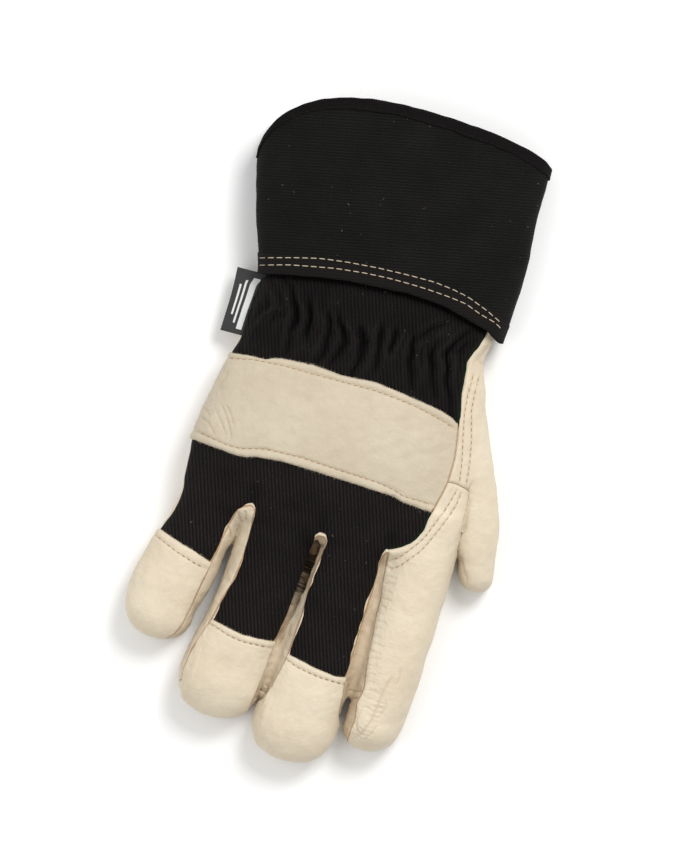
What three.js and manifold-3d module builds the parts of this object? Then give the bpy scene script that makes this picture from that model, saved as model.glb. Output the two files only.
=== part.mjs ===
// Driver glove for the right hand, with a safety cuff, lying flat with the palm down.
// Millimetres, +Z up. Fingers point to -Y, the cuff opens to +Y, the thumb is at +X.

import * as THREE from 'three';
import { LoftGeometry } from 'three/addons/geometries/LoftGeometry.js';
import { mergeVertices } from 'three/addons/utils/BufferGeometryUtils.js';
import Module from 'manifold-3d';

const wasm = await Module();
wasm.setup();

// Driving dimensions
const leatherWall = 1.8;
const cuffWall = 1.5;
const seamGap = 0.3;
const sideSeamHeight = 11;
const middleShare = 0.42;
const crownPower = 2.4;
const floorPower = 4;
const floorPress = 0.8;
const tipPower = 2.4;
const tipFloorPower = 4;
const tipNose = 8;
const tipEnd = 0.97;
const tipFloorEnd = 7;
const tipSteps = 4;
const tipHollowSteps = 3;
const strapRaise = 0.9;
const strapLoftStart = 30;
const strapLoftEnd = -31;
const strapSeamEnds = { top: 15.4, bottom: -22.8 };
const gatherCount = 16;
const evenShare = 0.72;
const wristOverrun = 5;
const mouthReach = 136.4;
const mouthCentre = -2;
const mouthHalf = 59.3;
const mouthLeft = { drop: 36, power: 2.3 };
const mouthRight = { drop: 20, power: 3 };
const bindingDepth = 5;
const bindingCloth = 0.8;
const foldOver = bindingCloth + seamGap;
const cuffFitSteps = 8;
const thumbCrotch = -7.5;
const thumbSink = 3;
const handTip = { x: 2, y: -48.5 };
const labelFront = -57;
const labelThick = 0.9;
const labelDroop = 3.5;
const labelMidDroop = 1.05;
const labelRows = [53.4, 44, 38, 33, 27];
const patternCentre = 5.38;
const reachAbove = 60;

// Sections and outlines, as tables with named columns
const named = (columns, row) => Object.fromEntries(columns.map((name, i) => [name, row[i]]));
const table = (columns, rows) => rows.map((row) => named(columns, row));
const outline = (rows) => rows.map(([x, y]) => new THREE.Vector2(x, y));
const sectionColumns = ['y', 'left', 'right', 'top', 'floor'];

const wristRows = table([...sectionColumns, 'gather'], [
	[72, -46, 52.6, 30.4, 2.3, 0],
	[50, -46.5, 51.4, 29.4, 2, 1.1],
	[44, -47, 50.4, 28.4, 0, 1.5],
	[38, -47.6, 51.4, 27.8, 0, 1.7],
	[29, -48.1, 54.7, 29.4, 0, 1.1],
	[22, -49.3, 56.2, 32, 0, 0.3],
	[16, -50.7, 57, 33.2, 0, 0],
]);

const handRows = table(sectionColumns, [
	[22, -49.3, 56.2, 32, 0],
	[16, -50.7, 57, 33.2, 0],
	[6, -52.9, 58.3, 34.4, 0],
	[-6, -55.2, 59.4, 35, 0],
	[-20, -56.7, 60, 34, 0],
	[-31, -56.3, 60.2, 31.8, 0],
	[-39, -55.6, 60.2, 28.8, 0],
]);

const digits = {
	little: {
		rows: table(sectionColumns, [
			[-22, -56, -26, 28, 0],
			[-42, -55.6, -28, 24, 0],
			[-52, -58, -28.6, 22.5, 0],
			[-60, -60.9, -31.4, 21.8, 0],
			[-78, -66, -34.2, 21, 0],
			[-87, -66.4, -37.4, 20.4, 0],
		]),
		tip: { x: -51, y: -101.6 },
	},
	ring: {
		rows: table(sectionColumns, [
			[-25, -27.5, 2, 30, 0],
			[-42, -28.4, 2.4, 26, 0],
			[-56, -29.2, 2, 24.4, 0],
			[-77, -31.1, 0.1, 23.6, 0],
			[-88, -33.1, -0.9, 23.6, 0],
			[-107, -37.5, -1.7, 22.6, 0],
		]),
		tip: { x: -20, y: -126.6 },
	},
	middle: {
		rows: table(sectionColumns, [
			[-25, 3.2, 32, 31, 0],
			[-42, 3.1, 32.4, 27, 0],
			[-56, 2.7, 32.4, 24.8, 0],
			[-77, 0.8, 32.3, 24, 0],
			[-92, -0.4, 32.4, 24, 0],
			[-109, -1.2, 32, 23.4, 0],
			[-118, -3.3, 31.4, 22.2, 0],
		]),
		tip: { x: 13.4, y: -136.5 },
	},
	index: {
		rows: table(sectionColumns, [
			[-22, 32.6, 60, 30, 0],
			[-42, 33.2, 60.2, 27.4, 0],
			[-58, 33.1, 59.9, 25.6, 0],
			[-92, 33.2, 58.6, 24.2, 0],
			[-104, 32.9, 57.8, 23.2, 0],
			[-111, 32.6, 57, 22, 0],
		]),
		tip: { x: 43, y: -124.2 },
	},
	thumb: {
		rows: table(sectionColumns, [
			[32, 42, 53, 24, 0],
			[10, 47, 61.6, 22, 0],
			[-10, 52.6, 70.2, 20.4, 0],
			[-20, 53.8, 73.5, 20, 0],
			[-30, 56.5, 75.6, 19.2, 0],
			[-39, 61.2, 76.6, 17.6, 0],
		]),
		tip: { x: 71.2, y: -49.7 },
	},
};

const cuffRows = table(sectionColumns, [
	[48, -48.2, 55.8, 33, 0],
	[55, -48.7, 56.4, 33.2, 0],
	[61, -50.2, 57, 33.6, 0],
	[69, -52.7, 57.2, 34.2, 0],
	[75, -54.8, 57.3, 34.8, 0],
	[85, -57.6, 57.3, 35.4, 0],
	[100, -60.8, 56.6, 35.6, 0.9],
	[120, -60.8, 56.4, 36, 1.1],
	[140, -60.8, 56.4, 36, 1.1],
]);

const cuffHem = outline([
	[-48.5, 54], [-36, 56.6], [-23.9, 58.7], [-11.9, 60.2], [0.6, 61], [13, 61.6],
	[21.5, 61.2], [30.2, 60.2], [39.2, 58], [48.3, 55.4], [55.2, 51.7],
]);

const strapTop = outline([
	[-80, 18.6], [-49.3, 19.4], [-33.2, 21.5], [-17.1, 23.2], [-4.4, 22.2], [10, 22.8], [21.8, 21.3],
	[33.7, 19.4], [46.6, 15.4],
]);

const strapBottom = outline([
	[-80, -18.6], [-55.2, -19.3], [-37.4, -20.8], [-18, -18.3], [-2.7, -18.9], [14.2, -19.6],
	[28.6, -20.4], [39.6, -22.3], [46.2, -22.8],
]);

// The seam from the cuff down to the thumb, between the black back and the leather side strip
const sideStripSeam = outline([
	[49.8, 80], [49.5, 54], [47.2, 49.3], [44.9, 45], [44.3, 40.4], [44.7, 34.4], [46, 20.9], [46.6, 15.4],
	[48.5, 5.6], [49.1, 0.6], [48.9, -9],
]);

// The rest of that seam, on the back alone, down to the fork of the middle and index fingers
const indexBackSeam = outline([
	[48.9, -8.9], [48.1, -13], [46.2, -22.8], [44.9, -27.4], [42.4, -33.4], [38, -38], [32.8, -41.3],
]);

const thumbJoint = outline([[48.9, -8.9], [52.3, -8.7], [56.5, -9.6], [62, -11.6]]);

// Edges of the strips between the fingers, from one fingertip round the fork to the next
const fourchetteSeams = {
	littleRing: outline([
		[-46.4, -105], [-46, -100.2], [-42.4, -95.4], [-39.4, -85.3], [-37.3, -73.3], [-34.8, -60],
		[-33.3, -50], [-31.3, -42], [-28.7, -40], [-26.3, -39], [-24.7, -40], [-24, -50], [-24.5, -61.3],
		[-27, -76.7], [-30, -89.3], [-33.2, -99], [-35, -108], [-34.8, -113], [-35.6, -115.6], [-40, -118.6],
	]),
	ringMiddle: outline([
		[-5.9, -125], [-5.4, -116], [-4.5, -110], [-4.1, -97], [-3.4, -88], [-2.4, -77], [-0.8, -62],
		[-0.3, -51.3], [-0.3, -45.4], [1, -43.2], [3, -42.4], [5, -43], [6.2, -45.4], [6.4, -51.3],
		[5.4, -62], [4.4, -77],
		[3.4, -90], [2.6, -101], [1.6, -109], [-0.4, -113.4], [-3.1, -116.2],
	]),
	middleIndex: outline([
		[32.1, -116.6], [30, -112.6], [29.4, -107], [29.4, -97], [29.7, -88.7], [29.9, -68.9], [30, -50],
		[30, -44.6], [31, -42.3], [32.8, -41.4], [34.6, -42.3], [35.7, -44.6], [35.7, -70.3], [36.2, -87.2],
		[36.9, -94.5], [37.4, -101], [37.3, -112.1], [37.6, -119], [37.6, -127],
	]),
};

const tipSeams = {
	little: outline([[-72, -57], [-59.7, -58], [-50, -61.3], [-35.4, -65.6]]),
	ring: outline([[-30, -88.2], [-20.7, -90], [-13, -90.8], [-3.5, -90.5]]),
	middle: outline([[3.2, -93.6], [11.3, -95.3], [18, -96.8], [29.5, -97]]),
};

// Where each fingertip's cap parts from the palm, at the height of the side seam
const littleSide = outline([
	[-46.4, -105], [-46, -100.2], [-42.4, -95.4], [-50, -80], [-40, -35], [-30, 0], [-30, 85], [-90, 85],
	[-90, -105],
]);
const ringTipEdge = { points: 3, reach: -135 };
const middleTipEdge = { points: 3, reach: -145 };

// Where the leather back of the index finger parts from the palm, at the same height
const indexSide = outline([
	[32.8, -41.4], [34.6, -42.3], [35.7, -44.6], [35.7, -70.3], [36.2, -87.2], [36.9, -94.5], [37.4, -101],
	[37.3, -112.1], [37.6, -119], [37.6, -127], [90, -127], [90, -15], [62, -11.6], [56.5, -9.6], [52.3, -8.7],
	[48, -8.9], [44, -30],
]);

// The palm side's seam across the roots of the ring and middle fingers
const fingerRootSeam = outline([[-26.6, -42.5], [3, -46], [32.8, -45]]);

// Numbers of sides round a section
const digitSides = { crown: 10, floor: 5 };
const digitHollowSides = { crown: 8, floor: 4 };
const handSides = { crown: 18, floor: 8 };
const wristSides = { crown: 48, floor: 8 };
const hollowSides = { crown: 10, floor: 6 };
const cuffSides = { crown: 20, floor: 12 };
const cuffShares = [0, 0.3, 0.65];

// Shapes and solids
function solidOf(geometry) {
	const plain = new THREE.BufferGeometry().copy(geometry);
	plain.deleteAttribute('normal');
	plain.deleteAttribute('uv');
	const merged = mergeVertices(plain);
	return new wasm.Manifold(new wasm.Mesh({
		numProp: 3,
		vertProperties: new Float32Array(merged.attributes.position.array),
		triVerts: new Uint32Array(merged.index.array),
	}));
}

function geometryOf(solid) {
	const { vertProperties, triVerts } = solid.getMesh();
	const geometry = new THREE.BufferGeometry();
	geometry.setAttribute('position', new THREE.BufferAttribute(vertProperties, 3));
	geometry.setIndex(new THREE.BufferAttribute(triVerts, 1));
	geometry.computeVertexNormals();
	return geometry;
}

function prism(points, low, high) {
	const geometry = new THREE.ExtrudeGeometry(new THREE.Shape(points), { depth: high - low, bevelEnabled: false });
	geometry.translate(0, 0, low);
	return solidOf(geometry);
}

// A thin cut along a line in plan, as wide as the gap that is left between two pieces
function seamCut(line, low, high) {
	const sides = [1, -1].map((side) => line.map((point, i) => {
		const before = line[Math.max(i - 1, 0)];
		const after = line[Math.min(i + 1, line.length - 1)];
		const along = after.clone().sub(before).normalize();
		const inward = point.clone().sub(before).normalize();
		const lean = i === 0 ? 1 : Math.max(along.dot(inward), 0.5);
		const across = new THREE.Vector2(-along.y, along.x).multiplyScalar(side * seamGap / 2 / lean);
		return point.clone().add(across);
	}));
	return prism([...sides[0], ...sides[1].reverse()], low, high);
}

function rowAt(rows, y) {
	const next = rows.findIndex((row, i) => i > 0 && (y - rows[i - 1].y) * (y - row.y) <= 0);
	if (next < 0) {
		return Math.abs(y - rows[0].y) < Math.abs(y - rows.at(-1).y) ? rows[0] : rows.at(-1);
	}
	const [from, to] = [rows[next - 1], rows[next]];
	const share = (y - from.y) / (to.y - from.y);
	const between = (name) => [name, THREE.MathUtils.lerp(from[name], to[name], share)];
	return Object.fromEntries(Object.keys(from).map(between));
}

function lineAt(line, x) {
	const next = Math.max(line.findIndex((point) => point.x >= x), 1);
	const [from, to] = x > line.at(-1).x ? line.slice(-2) : [line[next - 1], line[next]];
	const share = THREE.MathUtils.clamp((x - from.x) / (to.x - from.x), 0, 1);
	return THREE.MathUtils.lerp(from.y, to.y, share);
}

function grownRow(row, grow) {
	return {
		...row,
		left: row.left - grow,
		right: row.right + grow,
		top: row.top + grow,
		floor: row.floor - grow,
		gather: 0,
	};
}

// Angles round a section, from the right side over the crown to the left side and back under it
function anglesOf(sides) {
	const crown = Array.from({ length: sides.crown }, (_, i) => Math.PI * i / sides.crown);
	const floor = Array.from({ length: sides.floor }, (_, i) => Math.PI * (1 + i / sides.floor));
	return [...crown, ...floor];
}

// The same, with the crown's points evenly spread across the width so that they can follow the gathers
function gatherAnglesOf(sides) {
	const crown = Array.from({ length: sides.crown }, (_, i) => {
		const even = 1 - 2 * i / sides.crown;
		const across = THREE.MathUtils.lerp(Math.sin(Math.PI / 2 * even), even, evenShare);
		return Math.acos(Math.sign(across) * Math.abs(across) ** (crownPower / 2));
	});
	return [...crown, ...anglesOf(sides).slice(sides.crown)];
}

// One point of a flattened section: a full crown above the side seam and a floor pressed flat
function sectionPoint(row, angle) {
	const half = (row.right - row.left) / 2;
	const middle = row.middle ?? row.floor + middleShare * (row.top - row.floor);
	const power = Math.sin(angle) >= 0 ? crownPower : floorPower;
	const bend = (value) => Math.sign(value) * Math.abs(value) ** (2 / power);
	const across = bend(Math.cos(angle));
	const up = bend(Math.sin(angle));
	const x = row.left + half * (1 + across);
	const crown = middle + up * (row.top - middle);
	const floor = Math.max(middle + up * (middle - row.floor + floorPress), row.floor);
	const fold = (row.gather ?? 0) * (0.5 - 0.5 * Math.cos(Math.PI * gatherCount * (1 + across)));
	return new THREE.Vector3(x, row.y, up >= 0 ? crown + fold * up : floor);
}

function sectionRing(row, angles) {
	return angles.map((angle) => sectionPoint(row, angle));
}

function tube(rows, angles) {
	const rings = rows.map((row) => sectionRing(row, angles));
	return solidOf(new LoftGeometry(rings, { capStart: true, capEnd: true }));
}

// Rows that round off the last section to a blunt end
function roundedRows(rows, tip, steps) {
	const last = rows.at(-1);
	const half = (last.right - last.left) / 2;
	const centre = (last.right + last.left) / 2;
	const ends = Array.from({ length: steps }, (_, i) => {
		const share = Math.sin(Math.PI / 2 * tipEnd * (i + 1) / steps);
		const narrow = (1 - share ** tipPower) ** (1 / tipPower);
		const lift = 1 - (1 - share ** tipFloorPower) ** (1 / tipFloorPower);
		const x = THREE.MathUtils.lerp(centre, tip.x, share);
		return {
			y: THREE.MathUtils.lerp(last.y, tip.y, share),
			left: x - half * narrow,
			right: x + half * narrow,
			top: tipNose + (last.top - tipNose) * narrow,
			floor: last.floor + (tipFloorEnd - last.floor) * lift,
		};
	});
	return [...rows, ...ends];
}

function digitTube({ rows, tip }, grow) {
	const grown = rows.map((row) => grownRow(row, grow));
	const [sides, steps] = grow < 0 ? [digitHollowSides, tipHollowSteps] : [digitSides, tipSteps];
	return tube(roundedRows(grown, { x: tip.x, y: tip.y - grow }, steps), anglesOf(sides));
}

// The room that the thumb takes out of the hand beside it, open to the floor
function thumbRoom(grow) {
	const crotch = { ...rowAt(digits.thumb.rows, thumbCrotch), y: thumbCrotch + grow };
	const rows = [crotch, ...digits.thumb.rows.filter((row) => row.y < thumbCrotch)].map((row) => {
		const grown = grownRow(row, grow);
		const middle = grown.floor + middleShare * (grown.top - grown.floor);
		return { ...grown, middle, floor: grown.floor - thumbSink };
	});
	const { tip } = digits.thumb;
	return tube(roundedRows(rows, { x: tip.x, y: tip.y - grow }, tipSteps), anglesOf(digitSides));
}

// The hand with its five digits, as one closed form grown or shrunk by a wall
function handForm(grow, sides) {
	const extra = grow < 0 ? [{ ...wristRows[0], y: wristRows[0].y + wristOverrun }] : [];
	const wrist = [...extra, ...wristRows].map((row) => (grow === 0 ? row : grownRow(row, grow)));
	const handEnd = { x: handTip.x, y: handTip.y - grow };
	const hand = roundedRows(handRows.map((row) => grownRow(row, grow)), handEnd, tipSteps);
	const wristAngles = grow === 0 ? gatherAnglesOf(sides.wrist) : anglesOf(sides.wrist);
	const fingers = ['little', 'ring', 'middle', 'index'].map((name) => digitTube(digits[name], grow));
	return fingers.reduce(
		(form, finger) => form.add(finger),
		tube(wrist, wristAngles).add(tube(hand, anglesOf(sides.hand))),
	);
}

const outside = handForm(0, { wrist: wristSides, hand: handSides })
	.subtract(thumbRoom(seamGap))
	.add(digitTube(digits.thumb, 0));
const hollow = handForm(-leatherWall, { wrist: hollowSides, hand: hollowSides })
	.subtract(thumbRoom(seamGap + leatherWall))
	.add(digitTube(digits.thumb, -leatherWall));

// Seams
const fullHeight = [-reachAbove, reachAbove];
const backOnly = [sideSeamHeight, reachAbove];
const frontOnly = [-reachAbove, sideSeamHeight];
const sideSeam = [sideSeamHeight - seamGap / 2, sideSeamHeight + seamGap / 2];

function tipSlab(leftSeam, rightSeam, { points, reach }) {
	const left = leftSeam.slice(-points);
	const right = rightSeam.slice(0, points);
	const end = [new THREE.Vector2(right[0].x, reach), new THREE.Vector2(left.at(-1).x, reach)];
	return prism([...left, ...end.reverse(), ...right], ...sideSeam);
}

const { littleRing, ringMiddle, middleIndex } = fourchetteSeams;
const seams = [
	...Object.values(fourchetteSeams).map((line) => seamCut(line, ...fullHeight)),
	...Object.values(tipSeams).map((line) => seamCut(line, ...backOnly)),
	seamCut(indexBackSeam, ...backOnly),
	seamCut(sideStripSeam, ...fullHeight),
	seamCut(thumbJoint, ...fullHeight).subtract(digitTube(digits.thumb, seamGap / 2)),
	prism(littleSide, ...sideSeam),
	tipSlab(littleRing, ringMiddle, ringTipEdge),
	tipSlab(ringMiddle, middleIndex, middleTipEdge),
	prism(indexSide, ...sideSeam).subtract(digitTube(digits.thumb, seamGap / 2)),
	seamCut(fingerRootSeam, ...frontOnly),
].reduce((all, cut) => all.add(cut));

// The strap lies proud of the back and takes its own place in it
function strapBlock(margin) {
	const seam = [...sideStripSeam, ...indexBackSeam]
		.filter(({ y }) => y < strapSeamEnds.top && y > strapSeamEnds.bottom);
	const top = strapTop.map((point) => new THREE.Vector2(point.x, point.y + margin));
	const bottom = strapBottom.map((point) => new THREE.Vector2(point.x, point.y - margin));
	return prism([...top, ...seam, ...bottom.reverse()], sideSeamHeight - margin, reachAbove);
}

const strapRows = handRows
	.filter((row) => row.y >= strapLoftEnd)
	.map((row) => ({ ...row, top: row.top + strapRaise }));
const strap = tube([{ ...strapRows[0], y: strapLoftStart }, ...strapRows], anglesOf(handSides))
	.subtract(hollow)
	.intersect(strapBlock(-seamGap / 2))
	.subtract(seams);

const patches = outside.subtract(hollow).subtract(strapBlock(seamGap / 2)).subtract(seams).decompose();

// The patch of the hand whose surface comes nearest to a point on it
function patchAt(solids, { x, y, z }) {
	const distance = (solid) => {
		const { vertProperties } = solid.getMesh();
		let nearest = Infinity;
		for (let i = 0; i < vertProperties.length; i += 3) {
			const [dx, dy, dz] = [vertProperties[i] - x, vertProperties[i + 1] - y, vertProperties[i + 2] - z];
			nearest = Math.min(nearest, Math.hypot(dx, dy, dz));
		}
		return nearest;
	};
	return solids.reduce((best, solid) => (distance(solid) < distance(best) ? solid : best));
}

// Cuff and binding: walls lofted round the wrist, a closed profile at each angle
function mouthAt(x) {
	const across = THREE.MathUtils.clamp((x - mouthCentre) / mouthHalf, -1, 1);
	const { drop, power } = across < 0 ? mouthLeft : mouthRight;
	return mouthReach - drop * (1 - (1 - Math.abs(across) ** power) ** (1 / power));
}

function cuffPoint(angle, { share, beyond, depth }) {
	let y = THREE.MathUtils.lerp(lineAt(cuffHem, 0), mouthReach, share);
	for (let step = 0; step < cuffFitSteps; step += 1) {
		const { x } = sectionPoint(rowAt(cuffRows, y), angle);
		y = (y + THREE.MathUtils.lerp(lineAt(cuffHem, x), mouthAt(x) - foldOver, share)) / 2;
	}
	return sectionPoint({ ...grownRow(rowAt(cuffRows, y + beyond), -depth), y: y + beyond }, angle);
}

function cuffLoft(profile) {
	const angles = anglesOf(cuffSides);
	const sections = [...angles, angles[0]].map((angle) => profile.map((place) => cuffPoint(angle, place)));
	return solidOf(new LoftGeometry(sections));
}

const cuffPlaces = [
	...cuffShares.map((share) => ({ share, beyond: 0 })),
	{ share: 1, beyond: -bindingDepth },
	{ share: 1, beyond: 0 },
];
const cuffProfile = [
	...cuffPlaces.map((place) => ({ ...place, depth: cuffWall })).reverse(),
	...cuffPlaces.map((place) => ({ ...place, depth: 0 })),
];
const bindingProfile = [
	{ share: 1, beyond: -bindingDepth, depth: -seamGap },
	{ share: 1, beyond: -bindingDepth, depth: -foldOver },
	{ share: 1, beyond: foldOver, depth: -foldOver },
	{ share: 1, beyond: foldOver, depth: cuffWall + foldOver },
	{ share: 1, beyond: -bindingDepth, depth: cuffWall + foldOver },
	{ share: 1, beyond: -bindingDepth, depth: cuffWall + seamGap },
	{ share: 1, beyond: seamGap, depth: cuffWall + seamGap },
	{ share: 1, beyond: seamGap, depth: -seamGap },
];

// Label: a woven tab that leaves the side seam and droops a little
function labelSection(y) {
	const root = rowAt(wristRows, y).left - seamGap;
	const section = (x, drop) => [
		new THREE.Vector3(x, y, sideSeamHeight + labelThick / 2 - drop),
		new THREE.Vector3(x, y, sideSeamHeight - labelThick / 2 - drop),
	];
	const [rootTop, rootBottom] = section(root, 0);
	const [midTop, midBottom] = section((root + labelFront) / 2, labelMidDroop);
	const [frontTop, frontBottom] = section(labelFront, labelDroop);
	return [rootTop, midTop, frontTop, frontBottom, midBottom, rootBottom];
}
const label = solidOf(new LoftGeometry(labelRows.map(labelSection), { capStart: true, capEnd: true }));

// Materials
const leather = new THREE.MeshStandardMaterial({ name: 'leather', color: 0xdcc9a9, roughness: 0.78, metalness: 0 });
const drill = new THREE.MeshStandardMaterial({ name: 'drill', color: 0x1d1f22, roughness: 0.95, metalness: 0 });
const twill = new THREE.MeshStandardMaterial({ name: 'twill', color: 0x1a1c1f, roughness: 0.92, metalness: 0 });
const tape = new THREE.MeshStandardMaterial({ name: 'tape', color: 0x17181a, roughness: 0.9, metalness: 0 });
const woven = new THREE.MeshStandardMaterial({ name: 'woven', color: 0x141416, roughness: 0.7, metalness: 0 });

// A spot on each panel of the hand, by which it is told from the others
const strapSpot = { x: 0, y: 0, z: 36 };
const panelSpots = table(['name', 'x', 'y', 'z', 'material'], [
	['wrist_panel', 0, 38, 28, drill],
	['knuckle_panel', 0, -30, 32, drill],
	['little_tip', -52, -80, 21, leather],
	['ring_tip', -19, -105, 22, leather],
	['middle_tip', 15, -112, 23, leather],
	['fourchette_little_ring', -29, -56, 9, leather],
	['fourchette_ring_middle', 1.6, -70, 9, leather],
	['fourchette_middle_index', 32.7, -70, 9, leather],
	['index_back', 46, -80, 25, leather],
	['ring_front', -15, -75, 0, leather],
	['middle_front', 16, -75, 0, leather],
	['palm', 0, 0, 0, leather],
	['thumb', 70, -25, 19, leather],
]);

// Assembly
const group = new THREE.Group();
group.position.set(-patternCentre, 0, 0);

function place(name, solid, material) {
	const mesh = new THREE.Mesh(geometryOf(solid), material);
	mesh.name = name;
	group.add(mesh);
}

place('cuff', cuffLoft(cuffProfile), twill);
place('cuff_binding', cuffLoft(bindingProfile), tape);
place('knuckle_strap', patchAt(strap.decompose(), strapSpot), leather);
place('side_label', label, woven);
panelSpots.forEach((spot) => place(spot.name, patchAt(patches, spot), spot.material));

export default group;
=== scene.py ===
import math

import bpy
import numpy as np
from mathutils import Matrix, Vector
from mathutils.bvhtree import BVHTree


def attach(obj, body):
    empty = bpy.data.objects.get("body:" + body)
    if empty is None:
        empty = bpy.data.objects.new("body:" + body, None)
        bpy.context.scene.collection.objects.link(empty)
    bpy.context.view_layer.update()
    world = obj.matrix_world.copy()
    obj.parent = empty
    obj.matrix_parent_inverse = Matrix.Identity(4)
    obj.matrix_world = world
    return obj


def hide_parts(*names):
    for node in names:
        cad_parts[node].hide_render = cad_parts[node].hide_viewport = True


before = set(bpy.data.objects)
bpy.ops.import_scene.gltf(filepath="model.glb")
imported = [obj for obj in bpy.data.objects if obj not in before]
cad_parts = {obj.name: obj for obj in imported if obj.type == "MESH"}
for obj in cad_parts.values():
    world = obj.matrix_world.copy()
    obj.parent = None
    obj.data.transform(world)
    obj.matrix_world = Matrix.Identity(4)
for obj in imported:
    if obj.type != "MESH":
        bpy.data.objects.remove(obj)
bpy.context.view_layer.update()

# Sizes are in millimetres on the pattern, and become metres in the part's frame when a mesh is made
MM = 0.001
PATTERN_CENTRE = 5.38
VOXEL = 0.8
SHRINK = 0.8
SIDE_SEAM = 11.0
MIDDLE_SHARE = 0.42
CROWN_POWER = 2.4
FLOOR_POWER = 4.0
FLOOR_PRESS = 0.8
TIP_NOSE = 8.0
TIP_FLOOR_END = 7.0
THUMB_CROTCH = -7.5
THUMB_PLAY = 0.15
SIDE_CLIMB = 3.6
FAR = 200.0
FLOOR_CLEAR = 0.02
SNAP = 0.06
MERGE = 0.01
INNER_SHARE = 0.6
SELVEDGE = 1.6
WAVE_PERIOD = 0.314159
ELASTIC_Y = 40.5
PLEAT_PITCH = 2.9

# Rows of (y, left, right, top, floor)
HAND_ROWS = [
    (72, -46, 52.6, 30.4, 2.3), (58, -46.2, 52.6, 30.2, 2.3), (50, -46.5, 51.4, 29.6, 2.0),
    (44, -47, 50.4, 29.0, 0.6), (38, -47.6, 51.4, 28.6, 0.1), (29, -48.1, 54.7, 30.0, 0),
    (22, -49.3, 56.2, 32, 0), (16, -50.7, 57, 33.2, 0), (6, -52.9, 58.3, 34.4, 0),
    (-6, -55.2, 59.4, 35, 0), (-20, -56.7, 60, 34, 0), (-31, -56.3, 60.2, 31.8, 0),
    (-39, -55.6, 60.2, 28.8, 0),
]
HAND_TIP = (2, -48.5)
DIGITS = {
    "little": ([(-22, -56, -26, 28, 0), (-42, -55.6, -28, 24, 0), (-52, -58, -28.6, 22.5, 0),
                (-60, -60.9, -31.4, 21.8, 0), (-70, -63.8, -32.4, 21.3, 0), (-78, -66, -34.2, 21, 0),
                (-87, -66.4, -37.4, 20.4, 0)], (-51, -101.6)),
    "ring": ([(-25, -27.5, 2, 30, 0), (-42, -28.4, 2.4, 26, 0), (-56, -29.2, 2, 24.4, 0),
              (-77, -31.1, 0.1, 23.6, 0), (-88, -33.1, -0.9, 23.6, 0), (-97, -35.6, -1.2, 23.2, 0),
              (-107, -37.5, -1.7, 22.6, 0)], (-20, -126.6)),
    "middle": ([(-25, 3.2, 32, 31, 0), (-42, 3.1, 32.4, 27, 0), (-56, 2.7, 32.4, 24.8, 0),
                (-77, 0.8, 32.3, 24, 0), (-92, -0.4, 32.4, 24, 0), (-109, -1.2, 32, 23.4, 0),
                (-118, -3.3, 31.4, 22.2, 0)], (13.4, -136.5)),
    "index": ([(-22, 32.6, 60, 30, 0), (-42, 33.2, 60.2, 27.4, 0), (-58, 33.1, 59.9, 25.6, 0),
               (-76, 33.1, 59.3, 24.9, 0), (-92, 33.2, 58.6, 24.2, 0), (-104, 32.9, 57.8, 23.2, 0),
               (-111, 32.6, 57, 22, 0)], (43, -124.2)),
    "thumb": ([(32, 42, 53, 24, 0), (10, 47, 61.6, 22, 0), (0, 49.9, 66.0, 21.2, 0),
               (-10, 52.6, 70.2, 20.4, 0), (-20, 53.8, 73.5, 20, 0), (-30, 56.5, 75.6, 19.2, 0),
               (-39, 61.2, 76.6, 17.6, 0)], (71.2, -49.7)),
}
# Leather that closes the clefts between the fingers that touch
WEBS = [
    [(-46, 0.8, 5.8, 4.6, 1), (-58, 0, 4.6, 5, 1), (-70, -0.8, 3.2, 11, 3), (-77, -1.6, 2.6, 14, 6),
     (-88, -2.7, 1.6, 14.5, 6), (-97, -3.4, 0.8, 14, 6), (-109, -4.4, -0.6, 11, 6)],
    [(-42, 30.9, 34.8, 19, 8), (-56, 30.8, 34.8, 17, 8), (-77, 30.8, 34.8, 16.5, 8), (-92, 30.8, 34.8, 16, 8),
     (-104, 30.8, 34.6, 13, 8)],
]
CUFF_ROWS = [
    (46, -48.2, 55.8, 33, 0), (55, -48.7, 56.4, 33.2, 0), (61, -50.2, 57, 33.6, 0),
    (69, -52.7, 57.2, 34.2, 0), (75, -54.8, 57.3, 34.8, 0), (85, -57.6, 57.3, 35.4, 0.3),
    (100, -60.8, 56.9, 35.6, 0.9), (120, -60.8, 56.7, 36, 1.1), (142, -60.8, 56.7, 36, 1.1),
]

# Seams in plan, as lines of (x, y)
CUFF_HEM = [(-48.5, 54), (-46.7, 54), (-36, 56.6), (-23.9, 58.7), (-11.9, 60.2), (0.6, 61), (13, 61.65),
            (21.5, 61.2), (30.2, 60.2), (39.2, 58), (48.3, 55.4), (55.2, 51.7)]
HEM_STITCHES = [
    [(-49, 56.7), (-36.9, 60), (-28.9, 61.5), (-17.7, 63.5), (-6.3, 64.7), (3.7, 65.2), (12.1, 65.2),
     (20.6, 64.9), (29.1, 64.3), (37, 63.3), (44.4, 60.6), (50.7, 59), (55.7, 56.1), (57, 55.2)],
    [(-49.8, 59.6), (-35.3, 63.4), (-25, 65.8), (-13.8, 67.2), (-1.3, 68.1), (11.2, 68.5), (22, 68.5),
     (30.7, 67.5), (37.9, 66), (46.3, 62.8), (52.5, 59.8)],
]
STRAP_TOP = [(-80, 19.0), (-49.3, 19.4), (-40.8, 20.2), (-35.8, 20.3), (-33.2, 21.5), (-29.8, 22.3),
             (-17.1, 23.2), (-4.4, 22), (10, 22.8), (21.8, 21.3), (33.7, 19.4), (39.6, 18.2), (43.8, 16.8),
             (47.2, 14.8)]
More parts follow.
